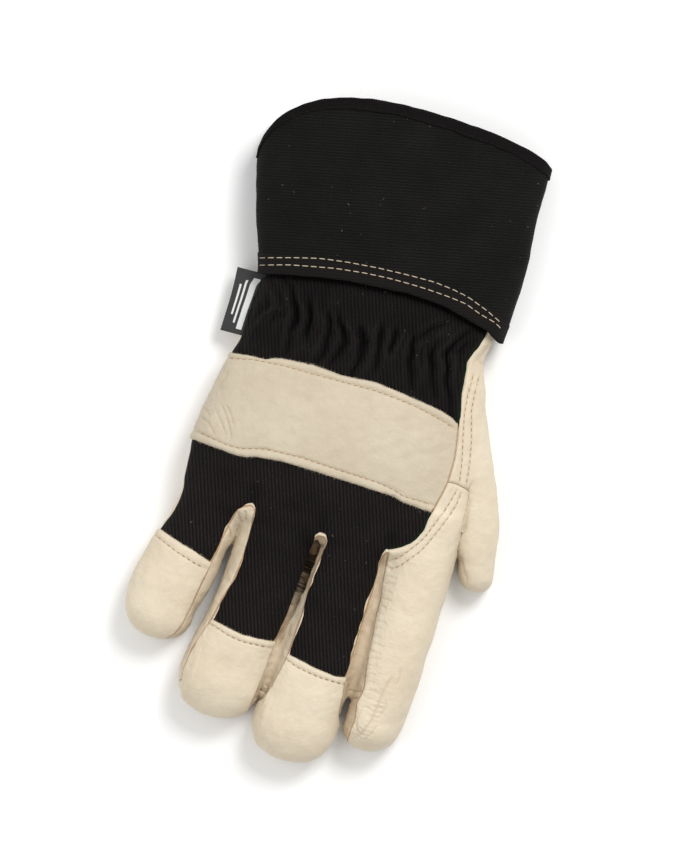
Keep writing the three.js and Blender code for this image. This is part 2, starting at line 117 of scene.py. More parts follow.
STRAP_BOTTOM = [(-80, -18.6), (-55.2, -19.3), (-43.4, -20.2), (-37.4, -20.8), (-33.2, -20.4), (-29.8, -19.3),
                (-18, -18.3), (-2.7, -18.9), (14.2, -19.6), (28.6, -20.4), (33.7, -21.7), (39.6, -22.3),
                (46.2, -22.9)]
BACK_SEAM = [(49.5, 80), (49.5, 54), (47.2, 49.3), (44.9, 45), (44.3, 40.4), (44.7, 34.4), (45.1, 27.7),
             (46, 20.9), (46.8, 15.4), (47.7, 10.7), (48.5, 5.6), (49.1, 0.6), (48.9, -4.5), (48.8, -9.2),
             (48.1, -13), (46.8, -18.9), (45.7, -22.7), (44.9, -25.7), (44.4, -30.7), (42.8, -33.7),
             (40.6, -37), (37.7, -39.5), (34.7, -41.4), (32.8, -42.4)]
THUMB_JOINT = [(48.8, -9), (52.3, -8.9), (56.5, -9.6), (62, -11.6)]
FORKS = {
    "little_ring": [(-46.4, -106), (-46, -100.7), (-43.3, -98), (-41.3, -94), (-39.4, -85.3), (-38.7, -80),
                    (-37.3, -73.3), (-35.7, -65.2), (-34.8, -60), (-34.3, -55.3), (-33.3, -50), (-31.3, -42),
                    (-28.7, -40), (-26.3, -39), (-24.7, -40), (-24.3, -41.3), (-24, -50), (-24.3, -61.3),
                    (-25.7, -71.3), (-27.3, -76.7), (-28.7, -82), (-29.9, -88), (-33, -97.3), (-34.3, -101.3),
                    (-35.2, -106.7), (-35.7, -111.3), (-35.3, -115.3), (-40, -119)],
    "ring_middle": [(-5.9, -125), (-5.2, -116), (-4.2, -110), (-3.1, -97), (-1.8, -88), (-0.4, -77),
                    (1.0, -65), (1.8, -56), (2.1, -50), (2.3, -46.4), (2.6, -45), (3.9, -43.9), (5.8, -43.9),
                    (6.9, -45.4), (6.9, -47), (6.5, -51.3), (5.4, -59.3), (5, -68), (5.1, -77), (4.5, -84.3),
                    (3.9, -93.4), (2.8, -100.4), (1.7, -105.5), (1, -109), (-0.6, -113.4), (-3.1, -116.2),
                    (-5.9, -125)],
    "middle_index": [(32.1, -117), (30.6, -113), (30.1, -107), (29.7, -101), (29.5, -96.4), (29.6, -88.7),
                     (30, -77), (30.3, -68.9), (30.9, -59.3), (30.7, -49.1), (31.2, -45.4), (32.2, -43.2),
                     (33, -43.4), (33.3, -48.3), (34, -55.7), (34.6, -61.5), (34.9, -70.3), (35.3, -77.7),
                     (36.2, -87.2), (36.9, -94.5), (37.5, -99.7), (36.9, -103.3), (36.2, -105.5),
                     (36.8, -109.2), (37.3, -112.1), (36.9, -115.8), (36.6, -120.2), (36.6, -127),
                     (32.1, -127)],
}
TIP_SEAMS = {
    "little": [(-75, -56.4), (-59.7, -58), (-50, -61.3), (-44.7, -62.7), (-36.3, -65.7), (-30, -67.4)],
    "ring": [(-34, -87.2), (-30, -88), (-20.7, -90), (-16.7, -90.8), (-6.7, -90.7), (-2, -90.3), (2, -90)],
    "middle": [(0, -92.8), (3.9, -93.8), (11.3, -95.3), (15.7, -96.4), (25.2, -97.5), (29.6, -96.9),
               (33, -96.2)],
}

STRAP_STITCHES = [
    [(-53.5, 16.6), (-48.9, 17.1), (-40.8, 18.8), (-28.1, 19.6), (-14.6, 19.4), (10, 19.4), (19.3, 18.6),
     (27.8, 17.5), (35.4, 15.8), (42.1, 14.1), (46, 12.6)],
    [(-57, -15.2), (-54.4, -15.5), (-42.5, -17.6), (-36.6, -17.6), (-32.4, -16.5), (-26.4, -15.1),
     (-11.2, -14.7), (5.7, -15.7), (21, -16.4), (27.8, -17.6), (32.8, -19.2), (45.5, -19.6)],
]
CAP_STITCHES = {
    "little": [(-60.4, -61.2), (-59, -61.7), (-51.3, -65), (-42, -68), (-37.2, -68.8)],
    "ring": [(-30, -90), (-28.7, -90.3), (-20.7, -92.9), (-15.3, -93.7), (-3.6, -93.3)],
    "middle": [(3.9, -95.9), (8.3, -97.8), (13.5, -98.9), (19.3, -99.7), (29, -100)],
}
STRIP_STITCHES = [
    [(47.6, 36), (47.6, 28), (48.1, 20), (49.8, 11.6), (51, 6.5), (52.3, 0.6), (53, -4.5), (53.6, -8.5)],
    [(50, 36), (50.2, 28), (50.8, 20.9), (53.2, 12.4), (54.4, 7.3), (55.5, 0.6), (56.1, -4.5), (56.4, -8.8)],
]
INDEX_STITCHES = [
    [(53.2, -11.3), (51.9, -16.4), (50.6, -20.6), (48.9, -24.8), (47.2, -29.1), (46.1, -32.2), (43.9, -35.9),
     (41.3, -39.5), (37.7, -43.9), (34.7, -46.1)],
    [(55.3, -12.1), (54.4, -18.1), (52.3, -24), (50.2, -29.1), (47.2, -35.9), (44.6, -40.3), (42.1, -43.2),
     (39.1, -46.9), (35.6, -49.4)],
]
STRAP_WRINKLES = [
    [(-49.5, -1), (-45.5, -6), (-42.6, -11), (-40.6, -15)], [(-50, -5), (-46, -10), (-42.8, -15)],
    [(-46.8, -1.6), (-43.2, -5.8), (-41.4, -9.4)], [(-55.6, -9), (-51, -11), (-47.2, -15.6)],
    [(-55, -5), (-51.4, -8.4)], [(-51.4, 4), (-49.4, 8.6), (-49, 12)],
]
INDEX_FOLD = [(48.2, -89.5), (46.8, -94), (45.5, -98.6), (44.7, -105.9), (43.8, -112.3), (41.2, -118.2),
              (38.4, -121.2)]
INDEX_CREASES = [
    [(38.0, -102.3), (41, -102.9), (43.6, -102)], [(38.4, -99.8), (42, -99.2), (45.0, -100.4)],
    [(38.2, -107.6), (40.2, -106.4), (42.8, -106.8)], [(49.6, -87), (50.6, -91), (50.2, -95)],
    [(39.8, -107.2), (38.7, -109.8), (38.5, -113.2), (39.2, -116.2), (40.4, -117.6)],
    [(47.6, -101.4), (48, -105.4), (46.6, -109.6)], [(46.8, -112.2), (45.4, -116.6), (43, -120)],
]
# Clefts between fingers, as furrows painted with dark shade, each as its depth, its width and its line
FORK_SPLITS = {
    "ring_middle": [(1.4, 0.5, [(3.5, -46.2), (2.9, -52), (1.6, -64), (0.5, -77), (-0.8, -87), (-1.3, -94)]),
                    (2.2, 0.85, [(3.3, -45.8), (2.8, -52), (2.0, -59), (1.3, -70)])],
}
FORK_CREASES = {
    "little_ring": [[(-31.2, -42.6), (-30.4, -44.2), (-28.6, -46.4), (-27.2, -47)],
                    [(-28.4, -41.6), (-27.4, -43.6), (-26.6, -46.2)],
                    [(-33, -49.6), (-31.4, -51.6), (-30.6, -54.6)]],
    "ring_middle": [[(2.6, -47.4), (4, -48.6), (6.4, -47.6)]],
    "middle_index": [[(31.8, -102.3), (34, -101.6), (36.4, -100.5)],
                     [(32.4, -107.4), (33.6, -104.6), (36.4, -103.6)]],
}
THUMB_CREASES = [[(50.4, 50), (49.2, 46), (48.6, 42.4)], [(47.2, 43), (49.4, 41.6), (51, 42.2)],
                 [(46.6, 30.4), (48.2, 29.6)], [(59.6, -12), (60.2, -20), (60.8, -28)],
                 [(61.4, -36), (64.4, -41.6), (68, -47.4)]]

# Folds that the elastic draws into the wrist, each as its depth and its line
GATHERS = [
    (1.9, [(-38.6, 55.3), (-35, 51.7), (-31.8, 47.4), (-29.6, 43.9), (-28.6, 38.9), (-29.3, 33.9),
           (-28.4, 25)]),
    (1.9, [(-26.2, 49.6), (-25, 47.6), (-22.9, 42.4), (-22.1, 37.4), (-21.2, 31)]),
    (1.6, [(-17.4, 47.6), (-16.4, 45.3), (-14.3, 41), (-13.2, 36.7), (-13.6, 32.4), (-15.4, 25)]),
    (1.6, [(-13.1, 47.6), (-10.7, 41.7), (-7.9, 38.9), (-6.4, 35.3), (-8.6, 30.3), (-10.2, 24.6)]),
    (2.2, [(-3.4, 44.6), (-1.4, 41), (1.1, 37.4), (1.1, 33.1), (0.7, 27.4), (0.4, 22)]),
    (1.5, [(6.8, 48), (7.1, 44.6), (7.1, 40.3), (7.5, 36), (8.2, 26)]),
    (1.6, [(12.4, 46.9), (12.5, 41), (12.1, 36.1)]),
    (2.0, [(19.4, 47.9), (20.4, 38.9), (20.7, 34.6), (22.9, 30.3), (24.6, 23.6)]),
    (1.3, [(33.4, 55.4), (27.9, 51), (25.7, 48.1), (21.7, 43.6)]),
    (1.7, [(29.4, 46.4), (29.3, 42.4), (30, 37.4), (31.4, 32.4), (34.6, 23.7)]),
    (2.1, [(45.4, 56), (40.7, 51), (37.1, 46.7), (35.4, 41.7), (35.7, 37.4), (37.9, 31.7), (40.7, 25.3),
           (42.3, 18)]),
    (1.2, [(38.4, 40.4), (38.6, 42.4), (40.7, 45.3), (44.8, 51)]),
    (-0.8, [(-45.4, 52), (-40.7, 46.7), (-37.1, 41.4), (-41, 36.6), (-43.9, 31), (-44.6, 23)]),
    (-0.7, [(-32.6, 42), (-32.1, 37.9), (-30.9, 34.6), (-31.6, 26)]),
]


# Outlines and fields
def smooth_rows(rows, step=1.5):
    """The table's rows with rows between them on smooth curves."""
    table = np.array(rows, float)
    ys, values = table[:, 0], table[:, 1:]
    slopes = np.gradient(values, ys, axis=0)
    count = max(int(abs(ys[-1] - ys[0]) / step), 2)
    y = np.linspace(ys[0], ys[-1], count + 1)
    way = np.sign(ys[-1] - ys[0])
    low = np.clip(np.searchsorted(way * ys, way * y, side="right") - 1, 0, len(ys) - 2)
    width = (ys[low + 1] - ys[low])[:, None]
    t = (y - ys[low])[:, None] / width
    made = (values[low] * (2 * t ** 3 - 3 * t ** 2 + 1) + slopes[low] * width * (t ** 3 - 2 * t ** 2 + t)
            + values[low + 1] * (3 * t ** 2 - 2 * t ** 3) + slopes[low + 1] * width * (t ** 3 - t ** 2))
    return np.column_stack([y, made])


def grown(rows, grow):
    """The rows of a form that is larger all round."""
    return rows + np.array([0, -1, 1, 1, -1]) * grow


def rounded(rows, tip, steps=18, end=0.985):
    """The rows, and rows that round off the last one to a blunt end."""
    last = rows[-1]
    half, centre = (last[2] - last[1]) / 2, (last[2] + last[1]) / 2
    share = np.sin(np.pi / 2 * end * np.arange(1, steps + 1) / steps)
    narrow = (1 - share ** CROWN_POWER) ** (1 / CROWN_POWER)
    lift = 1 - (1 - share ** FLOOR_POWER) ** (1 / FLOOR_POWER)
    x = centre + (tip[0] - centre) * share
    y = last[0] + (tip[1] - last[0]) * share
    top = TIP_NOSE + (last[3] - TIP_NOSE) * narrow
    floor = last[4] + (TIP_FLOOR_END - last[4]) * lift
    return np.vstack([rows, np.column_stack([y, x - half * narrow, x + half * narrow, top, floor])])


def section_points(rows, angles, middle=None):
    """Points of flattened sections: a full crown over the side seam, and a floor pressed flat."""
    y, left, right, top, floor = (rows[:, i, None] for i in range(5))
    if middle is None:
        middle = floor + MIDDLE_SHARE * (top - floor)
    crown = np.sin(angles) >= 0
    power = 2 / np.where(crown, CROWN_POWER, FLOOR_POWER)
    across = np.sign(np.cos(angles)) * np.abs(np.cos(angles)) ** power
    up = np.sign(np.sin(angles)) * np.abs(np.sin(angles)) ** power
    x = left + (right - left) / 2 * (1 + across)
    under = np.maximum(middle + up * (middle - floor + FLOOR_PRESS), floor)
    z = np.where(crown, middle + up * (top - middle), under)
    return np.stack([x, np.broadcast_to(y, x.shape), z], axis=2)


def grid_faces(index, more_rows=0, more_columns=0):
    """The quads of a grid of point numbers. One more row or column closes it on itself."""
    index = np.pad(index, ((0, more_rows), (0, more_columns)), mode="wrap")
    return np.stack([index[:-1, :-1], index[:-1, 1:], index[1:, 1:], index[1:, :-1]], 2).reshape(-1, 4)


def tube(rows, sides=120, middle=None):
    """A closed tube through the sections, as (points, faces)."""
    angles = np.linspace(0, 2 * np.pi, sides, endpoint=False)[None, :]
    rings = section_points(rows, angles, middle)
    count = len(rows)
    points = np.vstack([rings.reshape(-1, 3), rings[0].mean(0), rings[-1].mean(0)])
    index = np.arange(count * sides).reshape(count, sides)
    faces = [tuple(f) for f in grid_faces(index, 0, 1)]
    faces += [(count * sides, b, a) for a, b in zip(index[0], np.roll(index[0], -1))]
    faces += [(count * sides + 1, a, b) for a, b in zip(index[-1], np.roll(index[-1], -1))]
    return points, faces


def digit_tube(name, grow):
    rows, tip = DIGITS[name]
    return tube(rounded(grown(smooth_rows(rows), grow), (tip[0], tip[1] - grow)))


def thumb_room(grow):
    """The room that the thumb takes out of the hand beside it, open to the floor."""
    rows, tip = DIGITS["thumb"]
    rows = smooth_rows(rows)
    rows = grown(rows[rows[:, 0] < THUMB_CROTCH + grow], grow)
    rows = rounded(rows, (tip[0], tip[1] - grow))
    middle = rows[:, 4, None] + MIDDLE_SHARE * (rows[:, 3, None] - rows[:, 4, None])
    sunk = rows - np.array([0, 0, 0, 0, 3.0])
    return tube(sunk, middle=middle)


def signed_distance(points, polygon):
    """Distance in plan to a closed polygon, positive inside it."""
    corners = np.array(polygon, float)
    nearest = np.full(len(points), np.inf)
    inside = np.zeros(len(points), bool)
    x, y = points[:, 0], points[:, 1]
    for (ax, ay), (bx, by) in zip(corners, np.roll(corners, -1, axis=0)):
        dx, dy = bx - ax, by - ay
        length = dx * dx + dy * dy
        if length < 1e-12:
            continue
        t = np.clip(((x - ax) * dx + (y - ay) * dy) / length, 0, 1)
        nearest = np.minimum(nearest, np.hypot(x - ax - t * dx, y - ay - t * dy))
        if ay != by:
            inside ^= ((ay > y) != (by > y)) & (x < ax + (y - ay) * dx / dy)
    return np.where(inside, nearest, -nearest)


def line_distance(points, line):
    """Distance in plan to an open line, and how far along it the nearest place lies."""
    corners = np.array(line, float)
    lengths = np.hypot(*np.diff(corners, axis=0).T)
    start = np.concatenate([[0], np.cumsum(lengths)])
    nearest = np.full(len(points), np.inf)
    along = np.zeros(len(points))
    x, y = points[:, 0], points[:, 1]
    for (ax, ay), (bx, by), length, begin in zip(corners[:-1], corners[1:], lengths, start):
        dx, dy = bx - ax, by - ay
        t = np.clip(((x - ax) * dx + (y - ay) * dy) / length ** 2, 0, 1)
        away = np.hypot(x - ax - t * dx, y - ay - t * dy)
        closer = away < nearest
        nearest = np.where(closer, away, nearest)
        along = np.where(closer, begin + t * length, along)
    return nearest, along


def smoothstep(value, low, high):
    t = np.clip((value - low) / (high - low), 0, 1)
    return t * t * (3 - 2 * t)


def waves(points, wavelength, seed, stretch=(1, 1, 1), count=22):
    """Smooth noise of about one wavelength, from -1 to 1 for the most part."""
    chance = np.random.RandomState(seed)
    directions = chance.normal(size=(count, 3))
    directions /= np.linalg.norm(directions, axis=1)[:, None]
    directions *= (2 * np.pi / wavelength * chance.uniform(0.7, 1.4, count))[:, None] / np.array(stretch)
    phases = chance.uniform(0, 2 * np.pi, count)
    return np.cos(points[:, :3] @ directions.T + phases).sum(1) / math.sqrt(count)


def groove(points, lines, depth, width):
    """A furrow along lines in plan, as a height."""
    made = np.zeros(len(points))
    for line in lines:
        away, along = line_distance(points, line)
        length = along.max()
        ends = smoothstep(along, 0, 0.15 * length) * smoothstep(length - along, 0, 0.15 * length)
        made = np.minimum(made, -depth * ends * np.exp(-(away / width) ** 2))
    return made


def sewn(points, rows, pitch=2.6, depth=0.42, width=0.6):
    """The furrow that a row of stitches pulls into leather."""
    made = np.zeros(len(points))
    for row in rows:
        away, along = line_distance(points, row)
        pull = 0.78 + 0.22 * np.cos(2 * np.pi * along / pitch)
        made = np.minimum(made, -depth * pull * np.exp(-(away / width) ** 2))
    return made


def seam_wrinkles(line, first, last, step, reach, seed):
    """Short creases that leave a seam, as lines in plan."""
    chance = np.random.RandomState(seed)
    corners = np.array(line)
    made = []
    for y in np.arange(first, last, -step):
        x = np.interp(-y, -corners[:, 1], corners[:, 0]) + 0.7
        length = reach * chance.uniform(0.4, 1.2)
        rise = length * chance.uniform(-0.15, 0.25)
        made.append([(x, y), (x + length / 2, y + rise / 2 + 0.2), (x + length, y + rise)])
    return made


def puckers(points, line, pitch, depth, reach, seed):
    """Short folds that run away from a seam."""
    away, along = line_distance(points, line)
    wander = waves(points, 9.0, seed) * 0.9
    fold = np.cos(2 * np.pi * (along + wander) / pitch) * (0.6 + 0.4 * waves(points, 14.0, seed + 1))
    return depth * fold * np.exp(-away / reach) * smoothstep(away, 0.1, 0.9)


def leather_feel(points, seed):
    """The slight unevenness of soft leather, at three sizes."""
    sizes = ((0.16, 15.0), (0.07, 6.5), (0.025, 3.2))
    return sum(height * waves(points, length, seed + i) for i, (height, length) in enumerate(sizes))


# Meshes as arrays
def mesh_from(name, points, faces):
    mesh = bpy.data.meshes.new(name)
    mesh.from_pydata([tuple(p) for p in points], [], [tuple(f) for f in faces])
    mesh.update()
    return mesh


def arrays_of(mesh):
    mesh.calc_loop_triangles()
    points = np.zeros(len(mesh.vertices) * 3)
    mesh.vertices.foreach_get("co", points)
    faces = np.zeros(len(mesh.loop_triangles) * 3, np.int32)
    mesh.loop_triangles.foreach_get("vertices", faces)
    return points.reshape(-1, 3), faces.reshape(-1, 3)


def evaluated(points_faces, *modifiers):
    """The mesh after the modifiers, given as (type, settings)."""
    obj = bpy.data.objects.new("work", mesh_from("work", *points_faces))
    bpy.context.scene.collection.objects.link(obj)
    for kind, settings in modifiers:
        modifier = obj.modifiers.new(kind.lower(), kind)
        for key, value in settings.items():
            setattr(modifier, key, value)
    depsgraph = bpy.context.evaluated_depsgraph_get()
    mesh = bpy.data.meshes.new_from_object(obj.evaluated_get(depsgraph))
    made = arrays_of(mesh)
    bpy.data.meshes.remove(mesh)
    bpy.data.objects.remove(obj)
    return made


def joined(*meshes):
    points, faces, count = [], [], 0
    for p, f in meshes:
        points.append(p)
        faces += [tuple(int(i) + count for i in face) for face in f]
        count += len(p)
    return np.vstack(points), faces


def remeshed(points_faces, voxel):
    return evaluated(points_faces, ("REMESH", {"mode": "VOXEL", "voxel_size": voxel, "adaptivity": 0.0}))


def sides_of(faces):
    """The sides of triangles, from corner to corner in their order round each one."""
    return np.vstack([faces[:, [0, 1]], faces[:, [1, 2]], faces[:, [2, 0]]])


def relaxed(points, faces, steps, weights=1.0):
    """Moves each point halfway to the mean of its neighbours, in each step."""
    pairs = np.unique(np.sort(sides_of(faces), axis=1), axis=0)
    count = np.bincount(pairs.ravel(), minlength=len(points))[:, None]
    points = points.copy()
    for _ in range(steps):
        total = np.zeros_like(points)
        np.add.at(total, pairs[:, 0], points[pairs[:, 1]])
        np.add.at(total, pairs[:, 1], points[pairs[:, 0]])
        points += 0.5 * (total / np.maximum(count, 1) - points) * np.reshape(weights, (-1, 1))
    return points


def normals_of(points, faces):
    corner = points[faces]
    face_normals = np.cross(corner[:, 1] - corner[:, 0], corner[:, 2] - corner[:, 0])
    normals = np.zeros_like(points)
    for i in range(3):
        np.add.at(normals, faces[:, i], face_normals)
    return normals / np.maximum(np.linalg.norm(normals, axis=1), 1e-12)[:, None]


def clipped(data, faces, field):
    """The part of a mesh where the field isn't negative. data holds a row of values for each point."""
    field = np.where(np.abs(field) < SNAP, 0.0, field)
    inside = field >= 0
    count = inside[faces].sum(1)

    def turned(triangles, first):
        return np.take_along_axis(triangles, (first[:, None] + np.arange(3)) % 3, axis=1)

    one, two = faces[count == 1], faces[count == 2]
    one = turned(one, np.argmax(inside[one], axis=1))
    two = turned(two, np.argmin(inside[two], axis=1))
    cuts = np.vstack([one[:, [0, 1]], one[:, [0, 2]], two[:, [0, 1]], two[:, [0, 2]]])
    pairs, place = np.unique(np.sort(cuts, axis=1), axis=0, return_inverse=True)
    a, b = pairs.T
    t = (field[a] / (field[a] - field[b]))[:, None]
    made = data[a] * (1 - t) + data[b] * t
    parts = np.cumsum([len(one), len(one), len(two)])
    ab1, ac1, ab2, ac2 = np.split(place.ravel() + len(data), parts)
    kept = [faces[count == 3], np.column_stack([one[:, 0], ab1, ac1]),
            np.column_stack([ab2, two[:, 1], two[:, 2]]), np.column_stack([ab2, two[:, 2], ac2])]
    return compacted(np.vstack([data, made]), np.vstack(kept))


def finer(data, faces):
    """The same surface with each triangle cut into four."""
    pairs, place = np.unique(np.sort(sides_of(faces), axis=1), axis=0, return_inverse=True)
    ab, bc, ca = place.reshape(3, -1) + len(data)
    a, b, c = faces.T
    split = [np.column_stack(corners) for corners in ((a, ab, ca), (ab, b, bc), (ca, bc, c), (ab, bc, ca))]
    return np.vstack([data, data[pairs].mean(1)]), np.vstack(split)


def compacted(data, faces):
    """Drops unused points, merges points that lie on each other and drops faces with no area."""
    keys = np.round(data[:, :3] / MERGE).astype(np.int64)
    _, first, place = np.unique(keys, axis=0, return_index=True, return_inverse=True)
    faces = first[place.ravel()][faces]
    real = (faces[:, 0] != faces[:, 1]) & (faces[:, 1] != faces[:, 2]) & (faces[:, 2] != faces[:, 0])
    faces = faces[real]
    used, place = np.unique(faces, return_inverse=True)
    return data[used], place.reshape(faces.shape)


def difference(a, b):
    """The first mesh with the second cut out of it."""
    tool = bpy.data.objects.new("tool", mesh_from("tool", *b))
    bpy.context.scene.collection.objects.link(tool)
    made = evaluated(a, ("BOOLEAN", {"operation": "DIFFERENCE", "solver": "EXACT", "object": tool}))
    bpy.data.objects.remove(tool)
    return made


def hand_skin():
    """The outer surface of the hand and its five digits, as even triangles."""
    hand_rows = rounded(grown(smooth_rows(HAND_ROWS), -SHRINK), (HAND_TIP[0], HAND_TIP[1] + SHRINK))
    fingers = [digit_tube(name, -SHRINK) for name in ("little", "ring", "middle", "index")]
    webs = [tube(smooth_rows(rows), 24) for rows in WEBS]
    hand = remeshed(joined(tube(hand_rows, 200), *fingers, *webs), VOXEL)
    hand = difference(hand, thumb_room(SHRINK + THUMB_PLAY))
    points, faces = remeshed(joined(hand, digit_tube("thumb", -SHRINK)), VOXEL)
    points = relaxed(points, faces, 5)
    x, y, z = points.T
    knuckles = smoothstep(-y, 24, 34) * smoothstep(-y, 66, 52) * smoothstep(z, 13, 18)
    base = smoothstep(-y, -22, -6) * smoothstep(-y, 22, 8) * smoothstep(x, 44, 49)
    points = relaxed(points, faces, 24, weights=np.maximum(knuckles, 0.8 * base))
    points = points + SHRINK * normals_of(points, faces)
    points = relaxed(points, faces, 2)
    points[:, 2] = np.maximum(points[:, 2], FLOOR_CLEAR)
    return points, faces


def digit_inside(points, name, grow):
    """How far points lie inside a digit's tube, roughly, in millimetres."""
    rows, tip = DIGITS[name]
    rows = rounded(smooth_rows(rows), tip)
    order = np.argsort(rows[:, 0])
    y = points[:, 1]
    left, right, top, floor = (np.interp(y, rows[order, 0], rows[order, i]) for i in (1, 2, 3, 4))
    middle = floor + MIDDLE_SHARE * (top - floor)
    half = (right - left) / 2 + grow
    across = np.abs(points[:, 0] - (right + left) / 2) / half
    above = points[:, 2] >= middle
    up = np.where(above, (points[:, 2] - middle) / (top - middle + grow),
                  (middle - points[:, 2]) / (middle - floor + FLOOR_PRESS + grow))
    power = np.where(above, CROWN_POWER, FLOOR_POWER)
    reach = (across ** power + up ** power) ** (1 / power)
    depth = (1 - reach) * np.minimum(half, top - middle)
    return np.min([depth, y - (tip[1] - grow), rows[0, 0] - y], axis=0)


seam_top, seam_end = BACK_SEAM[0][0], BACK_SEAM[-1][0]
back_line = [(seam_top, FAR)] + BACK_SEAM + [(seam_end, -FAR), (-FAR, -FAR), (-FAR, FAR)]
strap_shape = STRAP_TOP + [(70, 10), (70, -26)] + STRAP_BOTTOM[::-1]
side_strip = [(seam_top, FAR)] + BACK_SEAM[:14] + THUMB_JOINT + [(FAR, THUMB_JOINT[-1][1]), (FAR, FAR)]
ring_room = [(-27, -42.5), (3, -46), (3, -FAR), (-27, -FAR)]
middle_room = [(3, -46), (32.8, -45), (32.8, -FAR), (3, -FAR)]
hem_x, hem_y = np.array(CUFF_HEM, float).T


def hem_at(x):
    return np.interp(x, hem_x, hem_y)


def side_seam_at(points):
    """The height of the side seam, which climbs into view beside the little finger."""
    x, y = points[:, 0], points[:, 1]
    little = smoothstep(-x, 40, 50) * smoothstep(-y, 12, 24) * smoothstep(-y, 62, 48)
    return SIDE_SEAM + SIDE_CLIMB * little


points, faces = hand_skin()
normals = normals_of(points, faces)
fields = {
    "back": signed_distance(points, back_line),
    "strap": signed_distance(points, strap_shape),
    "side": points[:, 2] - side_seam_at(points),
    "knuckles": -points[:, 1],
    "thumb": np.maximum(signed_distance(points, side_strip), digit_inside(points, "thumb", 0.45)),
    "ring_room": signed_distance(points, ring_room),
    "middle_room": signed_distance(points, middle_room),
}
fields |= {name: signed_distance(points, line) for name, line in FORKS.items()}
fields |= {f"{name}_cap": signed_distance(points, line + [(line[-1][0], -FAR), (line[0][0], -FAR)])
           for name, line in TIP_SEAMS.items()}
# A row for each point of the skin: its place, its normal and then its fields
skin = np.column_stack([points, normals, *fields.values()])
column = {name: 6 + i for i, name in enumerate(fields)}


def within(data, name, sign, past):
    """How far points lie inside one side of a field, moved out past its edge."""
    return sign * data[:, column[name]] + past


def region(sides, fine):
    """The part of the skin inside all the sides, and how far its points lie from its edge."""
    data, triangles = skin, faces
    for side in sides:
        data, triangles = clipped(data, triangles, within(data, *side))
    if fine:
        data, triangles = finer(data, triangles)
    return data, triangles, np.maximum(np.min([within(data, *side) for side in sides], axis=0), 0)


def rolled(distance, radius, drop):
    """The height of a turned edge: level inside, and falling away round its radius."""
    away = 1 - np.clip(distance / radius, 0, 1)
    return -drop * (1 - np.sqrt(1 - away ** 2))


def thickened(outer, inward, triangles, wall):
    """A closed wall: the outer points, the same points pushed in, and a rim round the edge."""
    count = len(outer)
    sides = sides_of(triangles).astype(np.int64)
    single = ~np.isin(sides @ [count, 1], sides @ [1, count])
    a, b = sides[single].T
    rim = np.vstack([np.column_stack([b, a, a + count]), np.column_stack([b, a + count, b + count])])
    return np.vstack([outer, outer - inward * wall]), np.vstack([triangles, triangles[:, ::-1] + count, rim])


surfaces = {}


def thinned(obj, inner):
    """Fewer triangles over the given points, which lie on the hidden face of a wall."""
    group = obj.vertex_groups.new(name="inner_face")
    group.add(inner.tolist(), 1.0, "REPLACE")
    modifier = obj.modifiers.new("inner_face", "DECIMATE")
    modifier.ratio, modifier.vertex_group = INNER_SHARE, group.name
    graph = bpy.context.evaluated_depsgraph_get()
    full = obj.data
    obj.data = bpy.data.meshes.new_from_object(obj.evaluated_get(graph), depsgraph=graph)
    obj.modifiers.clear()
    obj.vertex_groups.clear()
    bpy.data.meshes.remove(full)


def piece(name, points, triangles, material, replaced=(), values=None, inner=None):
    """A finished piece of the glove, from points in millimetres."""
    mesh = bpy.data.meshes.new(name)
    count = len(triangles)
    size = triangles.shape[1]
    mesh.vertices.add(len(points))
    placed = (points - np.array([PATTERN_CENTRE, 0, 0])) * MM
    mesh.vertices.foreach_set("co", placed.astype(np.float32).ravel())
    mesh.loops.add(count * size)
    mesh.loops.foreach_set("vertex_index", triangles.astype(np.int32).ravel())
    mesh.polygons.add(count)
    mesh.polygons.foreach_set("loop_start", np.arange(count, dtype=np.int32) * size)
    mesh.polygons.foreach_set("use_smooth", np.ones(count, bool))
    for key, value in (values or {}).items():
        mesh.attributes.new(key, "FLOAT", "POINT").data.foreach_set("value", value.astype(np.float32))
    mesh.update(calc_edges=True)
    mesh.validate()
    mesh.materials.append(material)
    obj = bpy.data.objects.new(name, mesh)
    bpy.context.scene.collection.objects.link(obj)
    if inner is not None:
        thinned(obj, inner)
    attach(obj, "root")
    if replaced:
        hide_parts(*replaced)


def panel(name, sides, material, slot, relief, wall, lift=0.0, radius=1.1, drop=0.8, raw=(), frayed=1.1,
          tone=1.0, fine=False):
    """One panel of the glove: its part of the skin with a turned edge, its relief and a wall."""
    data, triangles, edge = region(sides, fine)
    base, outward = data[:, :3], data[:, 3:6]
    soft, sharp, wrinkle = relief(base, edge, data)
    height = lift + rolled(edge, radius, drop) + soft + sharp
    outer = base + outward * height[:, None]
    outer[:, 2] = np.maximum(outer[:, 2], FLOOR_CLEAR)
    surfaces[name] = (outer, triangles)
    points, closed = thickened(outer, outward, triangles, wall)
    points[:, 2] = np.maximum(points[:, 2], FLOOR_CLEAR / 2)
    seam = np.minimum(*(line_distance(base, line)[0] for line in (BACK_SEAM, FORKS["middle_index"][4:12])))
    cut = np.min([np.abs(data[:, column[side]]) for side in raw], axis=0) if raw else np.full(len(base), FAR)
    # The sharp relief, turned over, is also stored for the materials, which paint shade in its furrows and,
    # on the drill, a highlight on its ridges.
    values = {"crease_shading": -sharp, "wrinkle": wrinkle, "tone": tone, "raw": 1 - np.clip(cut / frayed, 0, 1),
              "selvedge": 1 - np.clip(seam / SELVEDGE, 0, 1)}
    values = {key: np.tile(np.broadcast_to(value, len(base)), 2) for key, value in values.items()}
    inner = np.setdiff1d(np.arange(len(outer), len(points)), closed[2 * len(triangles):])
    piece(f"{name}_{slot}", points, closed, material, [name], values, inner)


# Materials
def new_material(name):
    material = bpy.data.materials.new(name)
    material.use_nodes = True
    tree = material.node_tree
    return material, tree, tree.nodes["Principled BSDF"]


